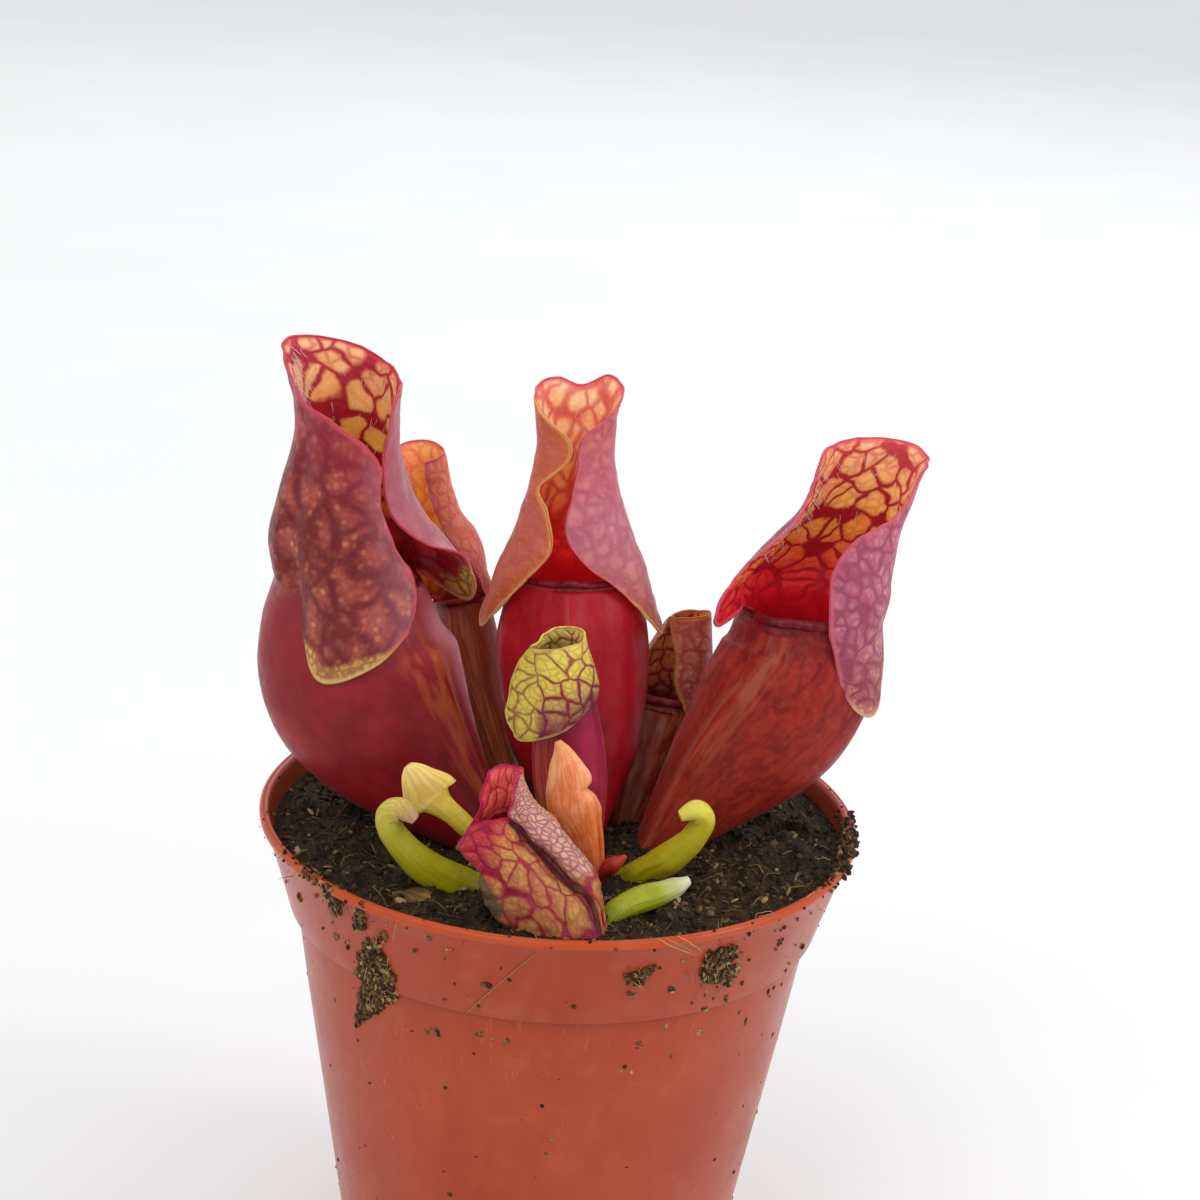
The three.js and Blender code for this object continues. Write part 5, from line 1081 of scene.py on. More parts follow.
# the crumpled old leaf in front: rows from its foot to the top of its tongue, each a ring of ten points
# from the crease over the right flank and the back to the left edge and the front lobe
OLD_LEAF = net("""
    7.1 -39.5 78.4, 7.6 -38.8 78.2, 8 -37.5 77.8, 5.2 -33 78.1, 1.7 -31.5 78, -1.9 -32.8 77.6,
        -4.7 -37.5 76.8, -2.1 -40 77.7, 0.6 -41 78.2, 3.8 -41 78.6;
    5.4 -38 83.3, 6.5 -38.5 83.6, 7.3 -36 82.9, 3.8 -30.1 82.9, -0.5 -28.2 82.1, -4.9 -30 81,
        -8.3 -36.3 79.5, -3.9 -39.5 81.1, -1 -40.5 82.2, 2.4 -40 83;
    2.6 -37 85, 4.5 -38.2 86.6, 6 -35 86.4, 2.6 -28.8 86.2, -1.8 -26.8 85.3, -6.1 -28.8 83.8,
        -9.6 -35.6 82.1, -5.8 -39 84, -2.8 -40 85.2, 0.1 -39.3 85.6;
    0.2 -36 87.1, 2.2 -37.6 88.9, 4 -34 88.4, 0.9 -27.9 88.4, -3.1 -26.1 87.7, -7 -28.3 86.6,
        -10.2 -35.2 85, -7.2 -38.5 86.7, -4.6 -39.5 87.9, -2.1 -38.5 88.1;
    -2.3 -35.2 89.1, -0.1 -36.8 90.7, 1.7 -33.3 90.3, -1.3 -27.6 90.2, -5.2 -26 89.5,
        -9.1 -28.2 88.3, -12.1 -34.7 86.8, -9.4 -37.8 88.7, -6.9 -38.8 89.9, -4.5 -37.6 90;
    -4.6 -34.8 91.4, -2.3 -36 92.4, 0 -32.8 92.4, -2.9 -27.9 92.1, -6.7 -26.5 91.1,
        -10.5 -28.4 89.7, -13.4 -34.2 88.1, -11 -37 90.5, -8.8 -38 91.8, -6.6 -36.8 91.9;
    -6.4 -34.5 93.1, -4.2 -35 94.4, -1.7 -32 93.5, -4.1 -28.5 93, -7.2 -27.7 91.9, -10.3 -29.3 90.5,
        -12.7 -33.8 89, -10.9 -36 92, -9.4 -37 93.3, -7.8 -36 93.4;
    -6.2 -34 94.7, -4.7 -34.3 95.7, -3.3 -31.6 95.2, -4.9 -29.2 95, -6.9 -28.5 94.4,
        -8.8 -29.4 93.7, -10.4 -32.2 92.8, -9.4 -35.1 93.3, -8.3 -35.6 93.8, -7.3 -36 94.2;
    -5.9 -33.4 96.5, -5.1 -33.6 97.4, -4.5 -31 96.8, -5.8 -29.2 96.6, -7.5 -28.7 96.1,
        -9.2 -29.4 95.5, -10.5 -31.6 94.8, -9.4 -34.6 95.2, -8.2 -35 95.7, -7.1 -35.4 96.1;
    -5.6 -31.6 98.4, -5.4 -31.2 98.7, -5.5 -30.5 98.7, -6.2 -29.4 98.4, -7.4 -28.6 98.2,
        -8.7 -29.2 98.1, -9.7 -30.4 97.5, -8.7 -33.2 97.7, -7.7 -33.5 98, -6.7 -33.8 98.2""")


def old_leaf(name, outside, inside):
    """A flattened bag whose back runs up into a rolled tongue."""
    net = np.array(OLD_LEAF)
    ring = np.concatenate([net[:, -1:], net, net[:, :2]], 1)
    per, deep = 14, 12
    around, tall, mouth = 10 * per, 9 * deep, 6 * deep
    v = np.linspace(0, 9, tall + 1)
    u = np.arange(around) / per
    grid = np.swapaxes(along(np.swapaxes(along(ring, v), 0, 1), u + 1), 0, 1)
    vv, uu = np.meshgrid(v, u, indexing="ij")
    points = grid.reshape(-1, 3)
    n = np.arange((tall + 1) * around).reshape(tall + 1, around)
    a, b = n[:-1], n[1:]
    quads = np.stack([a, np.roll(a, -1, 1), np.roll(b, -1, 1), b], -1)
    edge = 6 * per
    faces = np.concatenate([quads[:mouth].reshape(-1, 4), quads[mouth:, :edge].reshape(-1, 4)])
    loop = [n[mouth, j] for j in range(edge, around)] + [n[i, 0] for i in range(mouth, tall)]
    loop += [n[tall, j] for j in range(edge)] + [n[i, edge] for i in range(tall, mouth, -1)]
    loop = np.array(loop)
    gap = np.sqrt(((points[:, None] - points[loop][None, ::2]) ** 2).sum(-1)).min(1)
    gap[loop] = 0
    u, v = uu.ravel(), vv.ravel()
    left = np.clip((10 - u) / 4, 0, 1) * (u > 5.5)
    centre = grid.mean(1)[:, None].repeat(around, 1).reshape(-1, 3)
    normals = vertex_normals(points, faces)
    if (normals * (points - centre)).sum() < 0:
        faces, loop = faces[:, ::-1], loop[::-1]
        normals = -normals
    # crease, puckers between the veins, a curled rim and a torn lower edge
    fold = np.minimum(u, 10 - u)
    push = -0.55 * bell(fold, 0, 0.28) * (1 - smooth(v, 5.4, 6.4)) * smooth(v, 0.2, 1.2)
    push += 0.35 * bell(u, 0.75, 0.4) * (1 - smooth(v, 6, 7))
    push += fractal(points / 2.6, 3, 33) * 0.3 + noise(points / 1.1, 34) * 0.1
    push += 0.35 * bell(gap, 0, 0.7)
    dead = bell(u, 6.0, 0.75) * smooth(v, 0.4, 1.2) * (1 - smooth(v, 2.5, 3.1))
    dead = np.maximum(dead, bell(u, 6.02, 0.3) * smooth(v, 1.5, 2.4) * (1 - smooth(v, 5.2, 5.6)) * 0.95)
    push += dead * 0.35 * noise(points / 0.8, 35)
    points = points + normals * push[:, None]
    red = smooth(v / 6 + 0.62 * left, 0.82, 1.2)
    zone = np.stack([gap, 1 + red, np.where(v < 6.2, fold / 10, 1.0)], -1)
    band = (1 - smooth(u, 2.2, 3.0)) * smooth(u, 0.0, 0.25) * smooth(v, 1.2, 3.0)
    close_sheet(name, points, faces, np.ones(len(faces), bool), loop, n[0], gap, 0.6,
                {"q": points, "zone": zone, "tip": band, "dry": dead,
                 "map": np.stack([u * 3.4, v * 2.6, 0 * u], -1)}, [outside, inside])


for name, look in PITCHERS.items():
    big = name in ("pitcher_left", "pitcher_centre", "pitcher_right")
    outside = leaf_skin(name + "_outside", **look["out"])
    inside = leaf_skin(name + "_inside", **look["inn"])
    roll = lip_skin(name + "_lip_skin", LIP_COLOURS.get(name, "6a1a20"))
    if name == "pitcher_front_old":
        old_leaf(name, outside, inside)
    else:
        pitcher(name, LEAVES[name], outside, inside, roll, 1.0 if big else 0.6)


# ---------------------------------------------------------------- shoots
def shoot_skin(name, ramp, second, line=None, lines=0.0, line_from=0.0, line_to=0.3,
               cloud=2.2, pitch=1.3):
    """Young leaf: colours along its length (0 foot, 1 tip), clouded, with fine long lines."""
    s = Shader(name, Coat_Weight=0.05, Coat_Roughness=0.28, Subsurface_Weight=0.25, Subsurface_Scale=0.0012,
               Subsurface_Radius=(1.0, 0.7, 0.2), Sheen_Weight=0.02, Specular_IOR_Level=0.25)
    p = s.place()
    q = s.attribute("q", True)
    zone = s.attribute("zone", True)
    tall = s.part(zone, 1)
    colour = s.mix(s.step(s.noise(p, cloud, 3.0, 0.6), 0.35, 0.68), s.ramp(tall, ramp),
                   s.ramp(tall, second))
    run = s.edges(s.scaled(s.warped(q, 4, 0.8), (1, 1, 0.1)), pitch)
    veins = s.inverse(s.step(run, 0.0, 0.2))
    if line:
        where = s.step(tall, line_from, line_to)
        colour = s.mix(s.times(s.times(veins, lines), where), colour, rgb(line))
    relief = s.add(s.times(s.step(run, 0.0, 0.3), 0.5), s.times(s.noise(p, 0.3, 3.0), 0.3))
    return s.finish(colour, s.step(s.noise(p, 1.2), 0.3, 0.7, 0.32, 0.46), s.bump(relief, 0.00012, 0.8))


def shoot(name, rows, skin, form=None, sides=48, steps=90):
    """An unopened leaf as one closed skin; rows take the place of its spine, and form reshapes it."""
    spec = SHOOTS[name]
    spine = np.asarray(rows or spec["spine"], float)
    last = len(spine) - 1
    phi = np.arange(sides) * 360.0 / sides
    t = np.linspace(0, last, steps + 1)
    pts = rings(spine, spec["facing"], t, phi)
    if form is not None:
        pts = form(pts, phi)
    n = len(t)
    flat = pts.reshape(-1, 3)
    flat = np.concatenate([flat, pts[0].mean(0)[None],
                           pts[-1].mean(0)[None] + (pts[-1].mean(0) - pts[-2].mean(0))[None] * 0.5])
    length = run_length(along(spine, t)[:, :3])
    q = np.stack([np.broadcast_to(3 * np.cos(np.radians(phi)), (n, sides)),
                  np.broadcast_to(3 * np.sin(np.radians(phi)), (n, sides)),
                  np.broadcast_to(length[:, None], (n, sides))], -1).reshape(-1, 3)
    q = np.concatenate([q, q[:1], q[-1:]])
    zone = np.zeros((len(flat), 3))
    zone[:-2, 1] = np.repeat(t / last, sides)
    zone[-1, 1] = 1
    middle = np.concatenate([np.repeat(along(spine, t)[:, :3], sides, 0), flat[-2:] - 1e-3])
    uneven = fractal(flat / 2.2, 2, 21) * 0.1
    flat = flat + unit(flat - middle) * uneven[:, None]
    piece(name + "_leaf", flat, [grid_faces(n, sides, True), ring_caps(n, sides)], [skin], [name],
          {"q": q, "zone": zone})


shoot("shoot_left_green", None, shoot_skin(
    "shoot_left_green_skin", "0 94940a 0.45 aca40e 0.75 bcae38 0.9 c49a58 1 c8a090",
    "0 848608 0.5 a09c10 0.78 c8bc58 1 d0b490", "9c5a30", 0.3, line_from=0.6, line_to=0.8))
shoot("shoot_left_yellow", points("""
    -1.5 -19 70 0.9 1 0, -3 -19.3 76 1 1 0, -8.5 -20.5 81 1.2 1 0, -13.4 -21.5 86 1.5 0.9 0,
    -15.9 -21.9 88.3 1.8 0.7 0, -17.3 -22 89.5 2.6 0.5 0, -18 -22 90.1 4.2 0.3 0,
    -18.5 -22 90.8 4.1 0.3 0, -19.8 -22 92.4 2.9 0.4 0, -20.9 -22 93.8 1.7 0.5 0,
    -21.5 -22 94.5 0.7 0.7 0"""), shoot_skin(
    "shoot_left_yellow_skin", "0 a09e10 0.35 d0b830 0.6 ecd060 1 f0d078",
    "0 b0a020 0.4 e0c454 0.7 f0d870 1 f4d890", "b0442e", 0.28, line_from=0.4, line_to=0.7))
shoot("shoot_right_green", None, shoot_skin(
    "shoot_right_green_skin", "0 7c7406 0.35 a89a0e 0.7 bcb020 0.88 d4cc48 1 dcd058",
    "0 8a7e0a 0.5 b4a81a 0.8 ccc040 1 e0d468", "8a4a20", 0.3, line_from=0.3, line_to=0.1))
shoot("shoot_right_low", points("""
    6.8 -34.5 77.4 0.8 1 0, 8.2 -34 78.8 1.3 1 0, 9.7 -32.5 79.7 1.7 0.9 0, 12.5 -30 80 2 0.9 0,
    15.3 -28 80.2 1.9 0.9 0, 17.4 -26 80.4 1.5 0.9 0, 19.2 -24.6 80.9 0.7 0.9 0"""), shoot_skin(
    "shoot_right_low_skin", "0 6c7806 0.6 949a0c 0.85 c8c48c 1 e0d8bc",
    "0 808806 0.6 a4a418 1 e4dcc4"))
shoot("sprout_red", points("""
    6 -19.6 76 1 1 0, 7.1 -21.4 80 1.15 1 0, 8.4 -22 81.3 1.2 1 0, 9.3 -22 82 0.8 1 0,
    10.2 -22 82.8 0.3 1 0"""), shoot_skin(
    "sprout_red_skin", "0 8a1c14 0.7 b02c1c 1 c8402a", "0 741410 1 b83a20"))
shoot("dead_leaf", None, shoot_skin(
    "dead_leaf_skin", "0 6a4424 1 8a6a40", "0 4a2c18 1 a07c4c", "3a2010", 0.5))


def two_lobes(pts, phi):
    """Bud outline with a shoulder on its right side and a furrow running down from it."""
    a = np.radians(phi)[None, :]
    z = pts[..., 2]
    rightness = np.clip(np.sin(a), 0, 1) ** 2
    pts = pts.copy()
    pts[..., 0] -= (1.0 * bell(z, 93.0, 0.7) - 0.45 * bell(z, 95.2, 1.3)
                    - 0.35 * bell(z, 90.0, 2.0)) * rightness
    angle = (np.asarray(phi) + 180) % 360 - 180
    line = 62 - 1.6 * np.clip(93 - z, 0, 14)
    furrow = np.exp(-((angle[None, :] - line) / 9) ** 2) * smooth(-z, -93.4, -92) * smooth(z, 80, 84)
    pts[..., 1] += furrow * 0.5
    return pts


shoot("bud_orange", points("""
    6.2 -19.6 70 1.1 0.8 0, 5.8 -20.6 77 1.7 0.8 0, 4.3 -21.6 84 2.7 0.62 0, 2.1 -22.2 90 3.6 0.6 0,
    1.1 -22.4 95 2.8 0.6 0, 0.3 -22.3 98 1.6 0.7 0, -0.6 -22.2 99.8 0.5 0.8 0"""), shoot_skin(
    "bud_orange_skin", "0 c04c20 0.4 e47234 0.75 f0925c 1 e8943c",
    "0 b0401c 0.4 f09060 0.75 fabc8c 1 f4a858", "c44a24", 0.3, cloud=3.0, pitch=0.8),
    two_lobes, 72, 140)


# ---------------------------------------------------------------- pot
RIM = 45.0
PEAT_LEVEL = 78.3
PEAT_RADIUS = 43.0
DRAIN_CIRCLE, DRAIN_RADIUS, DRAIN_SIDES = 18, 3, 32
CRUMB_ROUGH = 0.35
FIBRE_SIDES = 4
PROFILE = points("""
    0 0, 12 0, 27.4 0, 28.2 0.1, 28.8 0.45, 29.05 1.1, 30.6 11, 32.2 21, 33.8 31, 35.4 41, 37 51,
    38.2 59, 38.9 63.6, 39 64.6, 39.05 64.95, 39.4 65, 39.9 65, 40.15 65.12, 40.3 65.45, 41.3 69,
    42.4 72.6, 43.5 76.2, 44.25 78.4, 44.4 78.65, 44.75 78.75, 44.95 78.95, 45 79.3, 44.95 79.65,
    44.75 79.9, 44.5 79.98, 44.4 79.86, 44.3 79.86, 44.2 79.98, 43.95 79.98, 43.7 79.8, 43.5 79.2,
    43.3 78.4, 41.6 72.4, 39.4 66.4, 38.9 65.6, 37.8 64.2, 35.6 50, 33.4 36, 31.2 22, 28.6 4,
    28.1 2.6, 27.2 1.9, 14 1.8, 0 1.8""")


def pot_skin():
    """Terracotta-coloured plastic with dust, wiped peat, specks and fine scratches."""
    s = Shader("terracotta_plastic", Coat_Weight=0.1, Coat_Roughness=0.14, Specular_IOR_Level=0.2,
               Subsurface_Weight=0.06, Subsurface_Scale=0.0015, Subsurface_Radius=(1.0, 0.35, 0.2))
    p = s.place()
    z = s.part(p, 2)
    colour = s.mix(s.step(s.noise(p, 26, 3.0, 0.55), 0.3, 0.7), rgb("a23c1e"), rgb("aa4424"))
    # painted reflections: long faint darker streaks up and down the wall
    colour = s.mix(s.times(s.step(s.noise(s.scaled(p, (1, 1, 0.12)), 3.0, 3.0, 0.6), 0.45, 0.75), 0.25),
                   colour, rgb("8c3014"))
    # lip: painted brighter, standing in for light that comes through the thinner, more see-through plastic
    colour = s.mix(s.step(z, 78.5, 79.2), colour, rgb("b6461c"))
    # painted shade in the corner under the collar
    colour = s.mix(s.times(s.step(z, 64.0, 65.0), s.step(z, 65.0, 65.3, 0.55, 0.0)), colour, rgb("64260f"))
    # dust, peat wiped over the collar, specks and fine scratches
    dust = s.step(s.noise(p, 7, 4.0, 0.7), 0.48, 0.8)
    colour = s.tinted(colour, dust, 0.16, "c08060")
    wipe = s.times(s.step(s.noise(s.scaled(p, (1, 1, 0.5)), 2.6, 5.0, 0.75), 0.60, 0.74),
                   s.step(z, 60, 79, 0.1, 0.8))
    colour = s.tinted(colour, wipe, 0.4, "6e3a24")
    dots = s.cells(s.warped(p, 2, 1), 2.4)
    near = s.inverse(s.step(dots.outputs["Distance"], 0.03, 0.09))
    chosen = s.step(s.part(dots.outputs["Color"], 0), 0.86, 0.9)
    specks = s.times(near, chosen)
    colour = s.tinted(colour, specks, 0.85, "4a2a1a")
    scratch = s.noise(s.scaled(s.warped(p, 12, 5), (1.2, 1.2, 0.05)), 0.5, 1.0)
    fine = s.times(s.step(scratch, 0.66, 0.74), s.step(s.noise(p, 15), 0.5, 0.7))
    colour = s.tinted(colour, fine, 0.18, "d68a6c")
    rough = s.step(s.noise(p, 9, 4.0, 0.65), 0.3, 0.75, 0.27, 0.4)
    rough = s.add(rough, s.times(s.add(wipe, specks), 0.3))
    height = s.add(s.noise(p, 14, 2.0), s.times(s.noise(p, 0.35, 2.0), 0.035))
    height = s.add(height, s.times(specks, 0.12))
    return s.finish(colour, rough, s.bump(height, 0.0006, 0.35))


def make_pot():
    """The pot as a turned profile with six drain holes."""
    sides = 224
    profile = np.array(PROFILE)
    a = np.arange(sides) * 2 * np.pi / sides
    body = profile[1:-1]
    pts = np.stack([body[:, None, 0] * np.cos(a), body[:, None, 0] * np.sin(a),
                    np.broadcast_to(body[:, None, 1], (len(body), sides))], -1)
    pts = np.concatenate([pts.reshape(-1, 3), [[0, 0, 0], [0, 0, 1.8]]])
    n = len(body)
    obj = piece("pot_shell", pts, [grid_faces(n, sides, True), ring_caps(n, sides)], [pot_skin()],
                ["pot"])
    # a cutter for the drain holes in the floor
    holes, sheets = [], []
    ring = np.arange(DRAIN_SIDES) * 2 * np.pi / DRAIN_SIDES
    for j in range(6):
        c = (j + 0.5) * math.pi / 3
        x, y = DRAIN_CIRCLE * math.cos(c), DRAIN_CIRCLE * math.sin(c)
        low = len(holes)
        high = low + DRAIN_SIDES
        for z in (-2, 4):
            holes += [(x + DRAIN_RADIUS * math.cos(b), y + DRAIN_RADIUS * math.sin(b), z) for b in ring]
        for i in range(DRAIN_SIDES):
            m = (i + 1) % DRAIN_SIDES
            sheets.append([low + i, low + m, high + m, high + i])
        sheets.append([high - 1 - i for i in range(DRAIN_SIDES)])
        sheets.append([high + i for i in range(DRAIN_SIDES)])
    mesh = bpy.data.meshes.new("drain_cut")
    mesh.from_pydata([tuple(v * MM for v in p) for p in holes], [], sheets)
    cutter = bpy.data.objects.new("drain_cut", mesh)
    scene.collection.objects.link(cutter)
    cut = obj.modifiers.new("drain", "BOOLEAN")
    cut.object = cutter
    cut.solver = "EXACT"
    bpy.context.view_layer.update()
    made = bpy.data.meshes.new_from_object(obj.evaluated_get(bpy.context.evaluated_depsgraph_get()))
    obj.modifiers.clear()
    obj.data = made
    bpy.data.objects.remove(cutter)
    made.polygons.foreach_set("use_smooth", np.ones(len(made.polygons), bool))
    made.set_sharp_from_angle(angle=math.radians(38))


make_pot()


# ---------------------------------------------------------------- peat
def clods(x, y):
    """Broad lumps of the peat, as a sum of waves."""
    h = 0
    for k in range(1, 10):
        a = k * 2.4
        f = 0.16 + 0.055 * k
        h = h + np.sin(f * (x * math.cos(a) + y * math.sin(a)) * 2 + k * k) / (1.6 + 0.35 * k)
    return h


def soil_height(x, y):
    """Height of the peat at a place."""
    r = np.hypot(x, y)
    crown = np.exp(-((x - 4) ** 2 + (y + 14) ** 2) / 260)
    rise = np.maximum(0, -y - 18) * 0.05
    lumps = 0.75 * clods(x, y) * np.clip((RIM - 2.6 - r) / 6, 0, 1)
    p = np.stack([x, y, 0 * x], -1)
    rough = 0.5 * fractal(p / 3.4, 5, 40) + 0.35 * np.abs(noise(p / 1.1, 50)) + 0.2 * noise(p / 0.45, 51)
    rough = rough * np.clip((43.6 - r) / 3, 0.15, 1)
    dip = 0.02 * np.maximum(0, -x)
    return PEAT_LEVEL - 0.6 + 0.6 * crown + rise + lumps - dip + rough - 0.9 * smooth(r, 39, 43.4)


def soil_skin(name, dark, mid, light, amount):
    """Dark crumbly peat with paler fibres."""
    s = Shader(name, Specular_IOR_Level=0.25)
    p = s.place()
    colour = s.mix(s.step(s.noise(p, 2.2, 4.0, 0.65), 0.38, 0.68), rgb(dark), rgb(mid))
    colour = s.mix(s.times(s.step(s.noise(p, 0.7, 4.0, 0.7), 0.54, 0.72), amount), colour, rgb(light))
    fibre = s.noise(s.scaled(s.warped(p, 3, 5), (3, 0.4, 1)), 0.8, 2.0, 0.6)
    colour = s.mix(s.times(s.step(fibre, 0.62, 0.72), amount * 0.7), colour, rgb(light))
    height = s.add(s.noise(p, 0.9, 4.0, 0.7), s.times(s.step(fibre, 0.5, 0.7), 0.4))
    return s.finish(colour, s.step(s.noise(p, 1.1), 0.3, 0.7, 0.72, 0.95), s.bump(height, 0.0004, 0.9))


def make_soil():
    """The peat: a wall that follows the pot, and a rough top."""
    rows, sides = 190, 300
    r = np.linspace(43.2, 0.25, rows)
    a = np.arange(sides) * 2 * np.pi / sides
    x = r[:, None] * np.cos(a)
    y = r[:, None] * np.sin(a)
    top = np.stack([x, y, np.minimum(soil_height(x, y), 80.0)], -1)
    low = points("""
    27.4 2.2, 32 36, 37.2 63.4, 38.6 66.4, 41.6 73.8, 42.9 76.8""")
    wall = np.array([[[rr * math.cos(b), rr * math.sin(b), z] for b in a] for rr, z in low])
    pts = np.concatenate([wall, top]).reshape(-1, 3)
    n = len(low) + rows
    pts = np.concatenate([pts, [[0, 0, 2.2], [0, 0, top[-1, :, 2].mean()]]])
    piece("peat", pts, [grid_faces(n, sides, True), ring_caps(n, sides)],
          [soil_skin("peat_skin", "180f08", "402b14", "6e5230", 0.55)], ["soil"])


make_soil()

# twelve corners of a rough ball
BALL = []
for s1 in (-1, 1):
    for s2 in (-1.618, 1.618):
        BALL += [(0, s1, s2), (s1, s2, 0), (s2, 0, s1)]
BALL = unit(np.array(BALL))


def ball_faces():
    """Triangles of the ball, wound outwards."""
    edge = np.linalg.norm(BALL[:, None] - BALL[None], axis=2)
    out = []
    for i in range(12):
        for j in range(i + 1, 12):
            for k in range(j + 1, 12):
                if max(edge[i, j], edge[j, k], edge[i, k]) < 1.2:
                    up = np.dot(np.cross(BALL[j] - BALL[i], BALL[k] - BALL[i]), BALL[i])
                    out.append((i, j, k) if up > 0 else (i, k, j))
    return np.array(out)


BALL_FACES = ball_faces()


def crumbs(name, centres, sizes, skin, flatness, normals=None, long=1.0):
    """Many small irregular lumps or flakes; normals lay flakes along a surface."""
    n = len(centres)
    axis = unit(rng.normal(size=(n, 3)))
    if normals is None:
        normals = unit(rng.normal(size=(n, 3)))
    axis = unit(axis - (axis * normals).sum(1, keepdims=True) * normals)
    third = np.cross(normals, axis)
    shape = BALL[None] * (1 + CRUMB_ROUGH * rng.uniform(-1, 1, size=(n, 12, 1)))
    lump = axis[:, None] * shape[..., :1] * long + third[:, None] * shape[..., 1:2]
    lump = lump + normals[:, None] * shape[..., 2:] * flatness
    pts = centres[:, None] + sizes[:, None, None] * lump
    faces = (BALL_FACES[None] + 12 * np.arange(n)[:, None, None]).reshape(-1, 3)
    tone = np.repeat(rng.uniform(0, 1, n), 12)
    piece(name, pts.reshape(-1, 3), faces, [skin], attrs={"tone": tone})


def toned_skin(name, stops, rough=0.85):
    """Skin of small pieces that each have a tone of their own on the ramp."""
    s = Shader(name, Specular_IOR_Level=0.25)
    p = s.place()
    colour = s.ramp(s.attribute("tone"), stops)
    colour = s.mix(s.times(s.step(s.noise(p, 0.3, 3.0, 0.7), 0.4, 0.7), 0.45), colour, rgb("2a1d14"))
    return s.finish(colour, s.step(s.noise(p, 0.6), 0.3, 0.7, rough - 0.1, rough + 0.1),
                    s.bump(s.noise(p, 0.2, 3.0, 0.7), 0.0001, 0.8))


def strewn(count, low=0.0):
    """Random places on the peat, none nearer to its middle than low."""
    r = np.sqrt(rng.uniform((low / PEAT_RADIUS) ** 2, 1, count)) * PEAT_RADIUS
    a = rng.uniform(0, 2 * np.pi, count)
    return r * np.cos(a), r * np.sin(a)


PEAT_TONES = "0 18100a 0.45 36250f 0.75 4e3a20 0.92 6a5030 1 96784c"
x, y = strewn(5200)
size = np.clip(rng.lognormal(-1.35, 0.45, len(x)), 0.12, 0.8)
size *= np.where(np.hypot(x, y) > 41.5, 0.6, 1)
z = soil_height(x, y) + size * 0.25
peat_tones = toned_skin("peat_crumb_skin", PEAT_TONES)
crumbs("peat_crumbs", np.stack([x, y, z], -1), size, peat_tones, flatness=0.7)
x, y = strewn(130, 18)
size = rng.uniform(0.25, 0.6, len(x))
crumbs("peat_chips", np.stack([x, y, soil_height(x, y) + 0.25], -1), size, toned_skin(
    "peat_chip_skin", "0 4a3522 0.6 8a6c48 1 b49a70"), flatness=0.35, long=1.9,
    normals=unit(rng.normal(size=(len(x), 3)) * 0.6 + np.array([0, 0, 1.0])))


def strands(name, starts, ways, lengths, radius, skin, curl=0.5, lift=0.0, surface=None, steps=8):
    """Thin curved fibres as one mesh."""
    pts, faces, tones = [], [], []
    for k, (start, way, length) in enumerate(zip(starts, ways, lengths)):
        way = np.array(way, float)
        bend = unit(rng.normal(size=3)) * curl
        path = [np.array(start, float)]
        for _ in range(steps):
            way = unit(way + bend / steps + rng.normal(size=3) * 0.12 * curl)
            path.append(path[-1] + way * length / steps)
        path = np.array(path)
        if surface is not None:
            path[:, 2] = surface(path[:, 0],
                                 path[:, 1]) + lift + 0.25 * np.sin(np.linspace(0, 3, steps + 1) + k)
        tangent = unit(np.gradient(path, axis=0))
        side = unit(np.cross(tangent, [0.31, 0.27, 0.9]))
        top = np.cross(side, tangent)
        r = (radius if np.isscalar(radius) else radius[k]) * (1 - 0.75 * np.linspace(0, 1, steps + 1) ** 2)
        a = np.arange(FIBRE_SIDES) * 2 * np.pi / FIBRE_SIDES
        tube = path[:, None] + r[:, None, None] * (side[:, None] * np.cos(a)[None, :, None]
                                                   + top[:, None] * np.sin(a)[None, :, None])
        faces.append(grid_faces(steps + 1, FIBRE_SIDES, True) + len(pts) * (steps + 1) * FIBRE_SIDES)
        pts.append(tube.reshape(-1, 3))
        tones.append(np.full((steps + 1) * FIBRE_SIDES, rng.uniform()))
    piece(name, np.concatenate(pts), np.concatenate(faces), [skin],
          attrs={"tone": np.concatenate(tones)})


x, y = strewn(620, 8)
ways = rng.normal(size=(len(x), 3))
ways[:, 2] *= 0.25
strands("peat_fibres", np.stack([x, y, 78 + 0 * x], -1), ways, rng.uniform(1.5, 6.0, len(x)), 0.075,
        toned_skin("fibre_skin", "0 3c2a1c 0.5 7a5c3e 0.85 a98c64 1 cdb890"),
        curl=1.1, lift=0.1, surface=soil_height)


# ---------------------------------------------------------------- peat on the pot
def wall_radius(z):
    """Outer radius of the pot at a height."""
    return np.where(z > 65.05, np.interp(z, [65.1, 78.5, 80], [40.2, 44.3, 45.0]),
                    np.interp(z, [1, 65], [29.05, 39.05]))


def inside(px, py, outline):
    """Which of the points lie inside the outline."""
    hit = np.zeros(len(px), bool)
    for (ax, ay), (bx, by) in zip(outline, outline[1:] + outline[:1]):
        cross = ((ay > py) != (by > py)) & (px < (bx - ax) * (py - ay) / (by - ay + 1e-12) + ax)
        hit ^= cross
    return hit


def caked(name, outline, count, low, high, skin, lift):
    """Flakes of dried peat caked on the pot's wall inside an outline of (angle, height)."""
    o = np.array(outline, float)
    a = rng.uniform(o[:, 0].min() - 0.6, o[:, 0].max() + 0.6, count * 4)
    z = rng.uniform(o[:, 1].min() - 0.3, o[:, 1].max() + 0.3, count * 4)
    wob = noise(np.stack([a * 0.9, z * 0.9, 0 * z], -1), 70)
    keep = inside(a + wob * 0.5, z + wob * 0.4, outline)
    a, z = a[keep][:count], z[keep][:count]
    r = wall_radius(z) + lift * rng.uniform(0.2, 1.6, len(z))
    t = np.radians(a)
    out = np.stack([np.cos(t), np.sin(t), 0 * t], -1)
    size = rng.uniform(low, high, len(z))
    crumbs(name, polar(r, t, z), size, skin, flatness=0.35, long=1.8,
           normals=unit(out + rng.normal(size=out.shape) * 0.35))


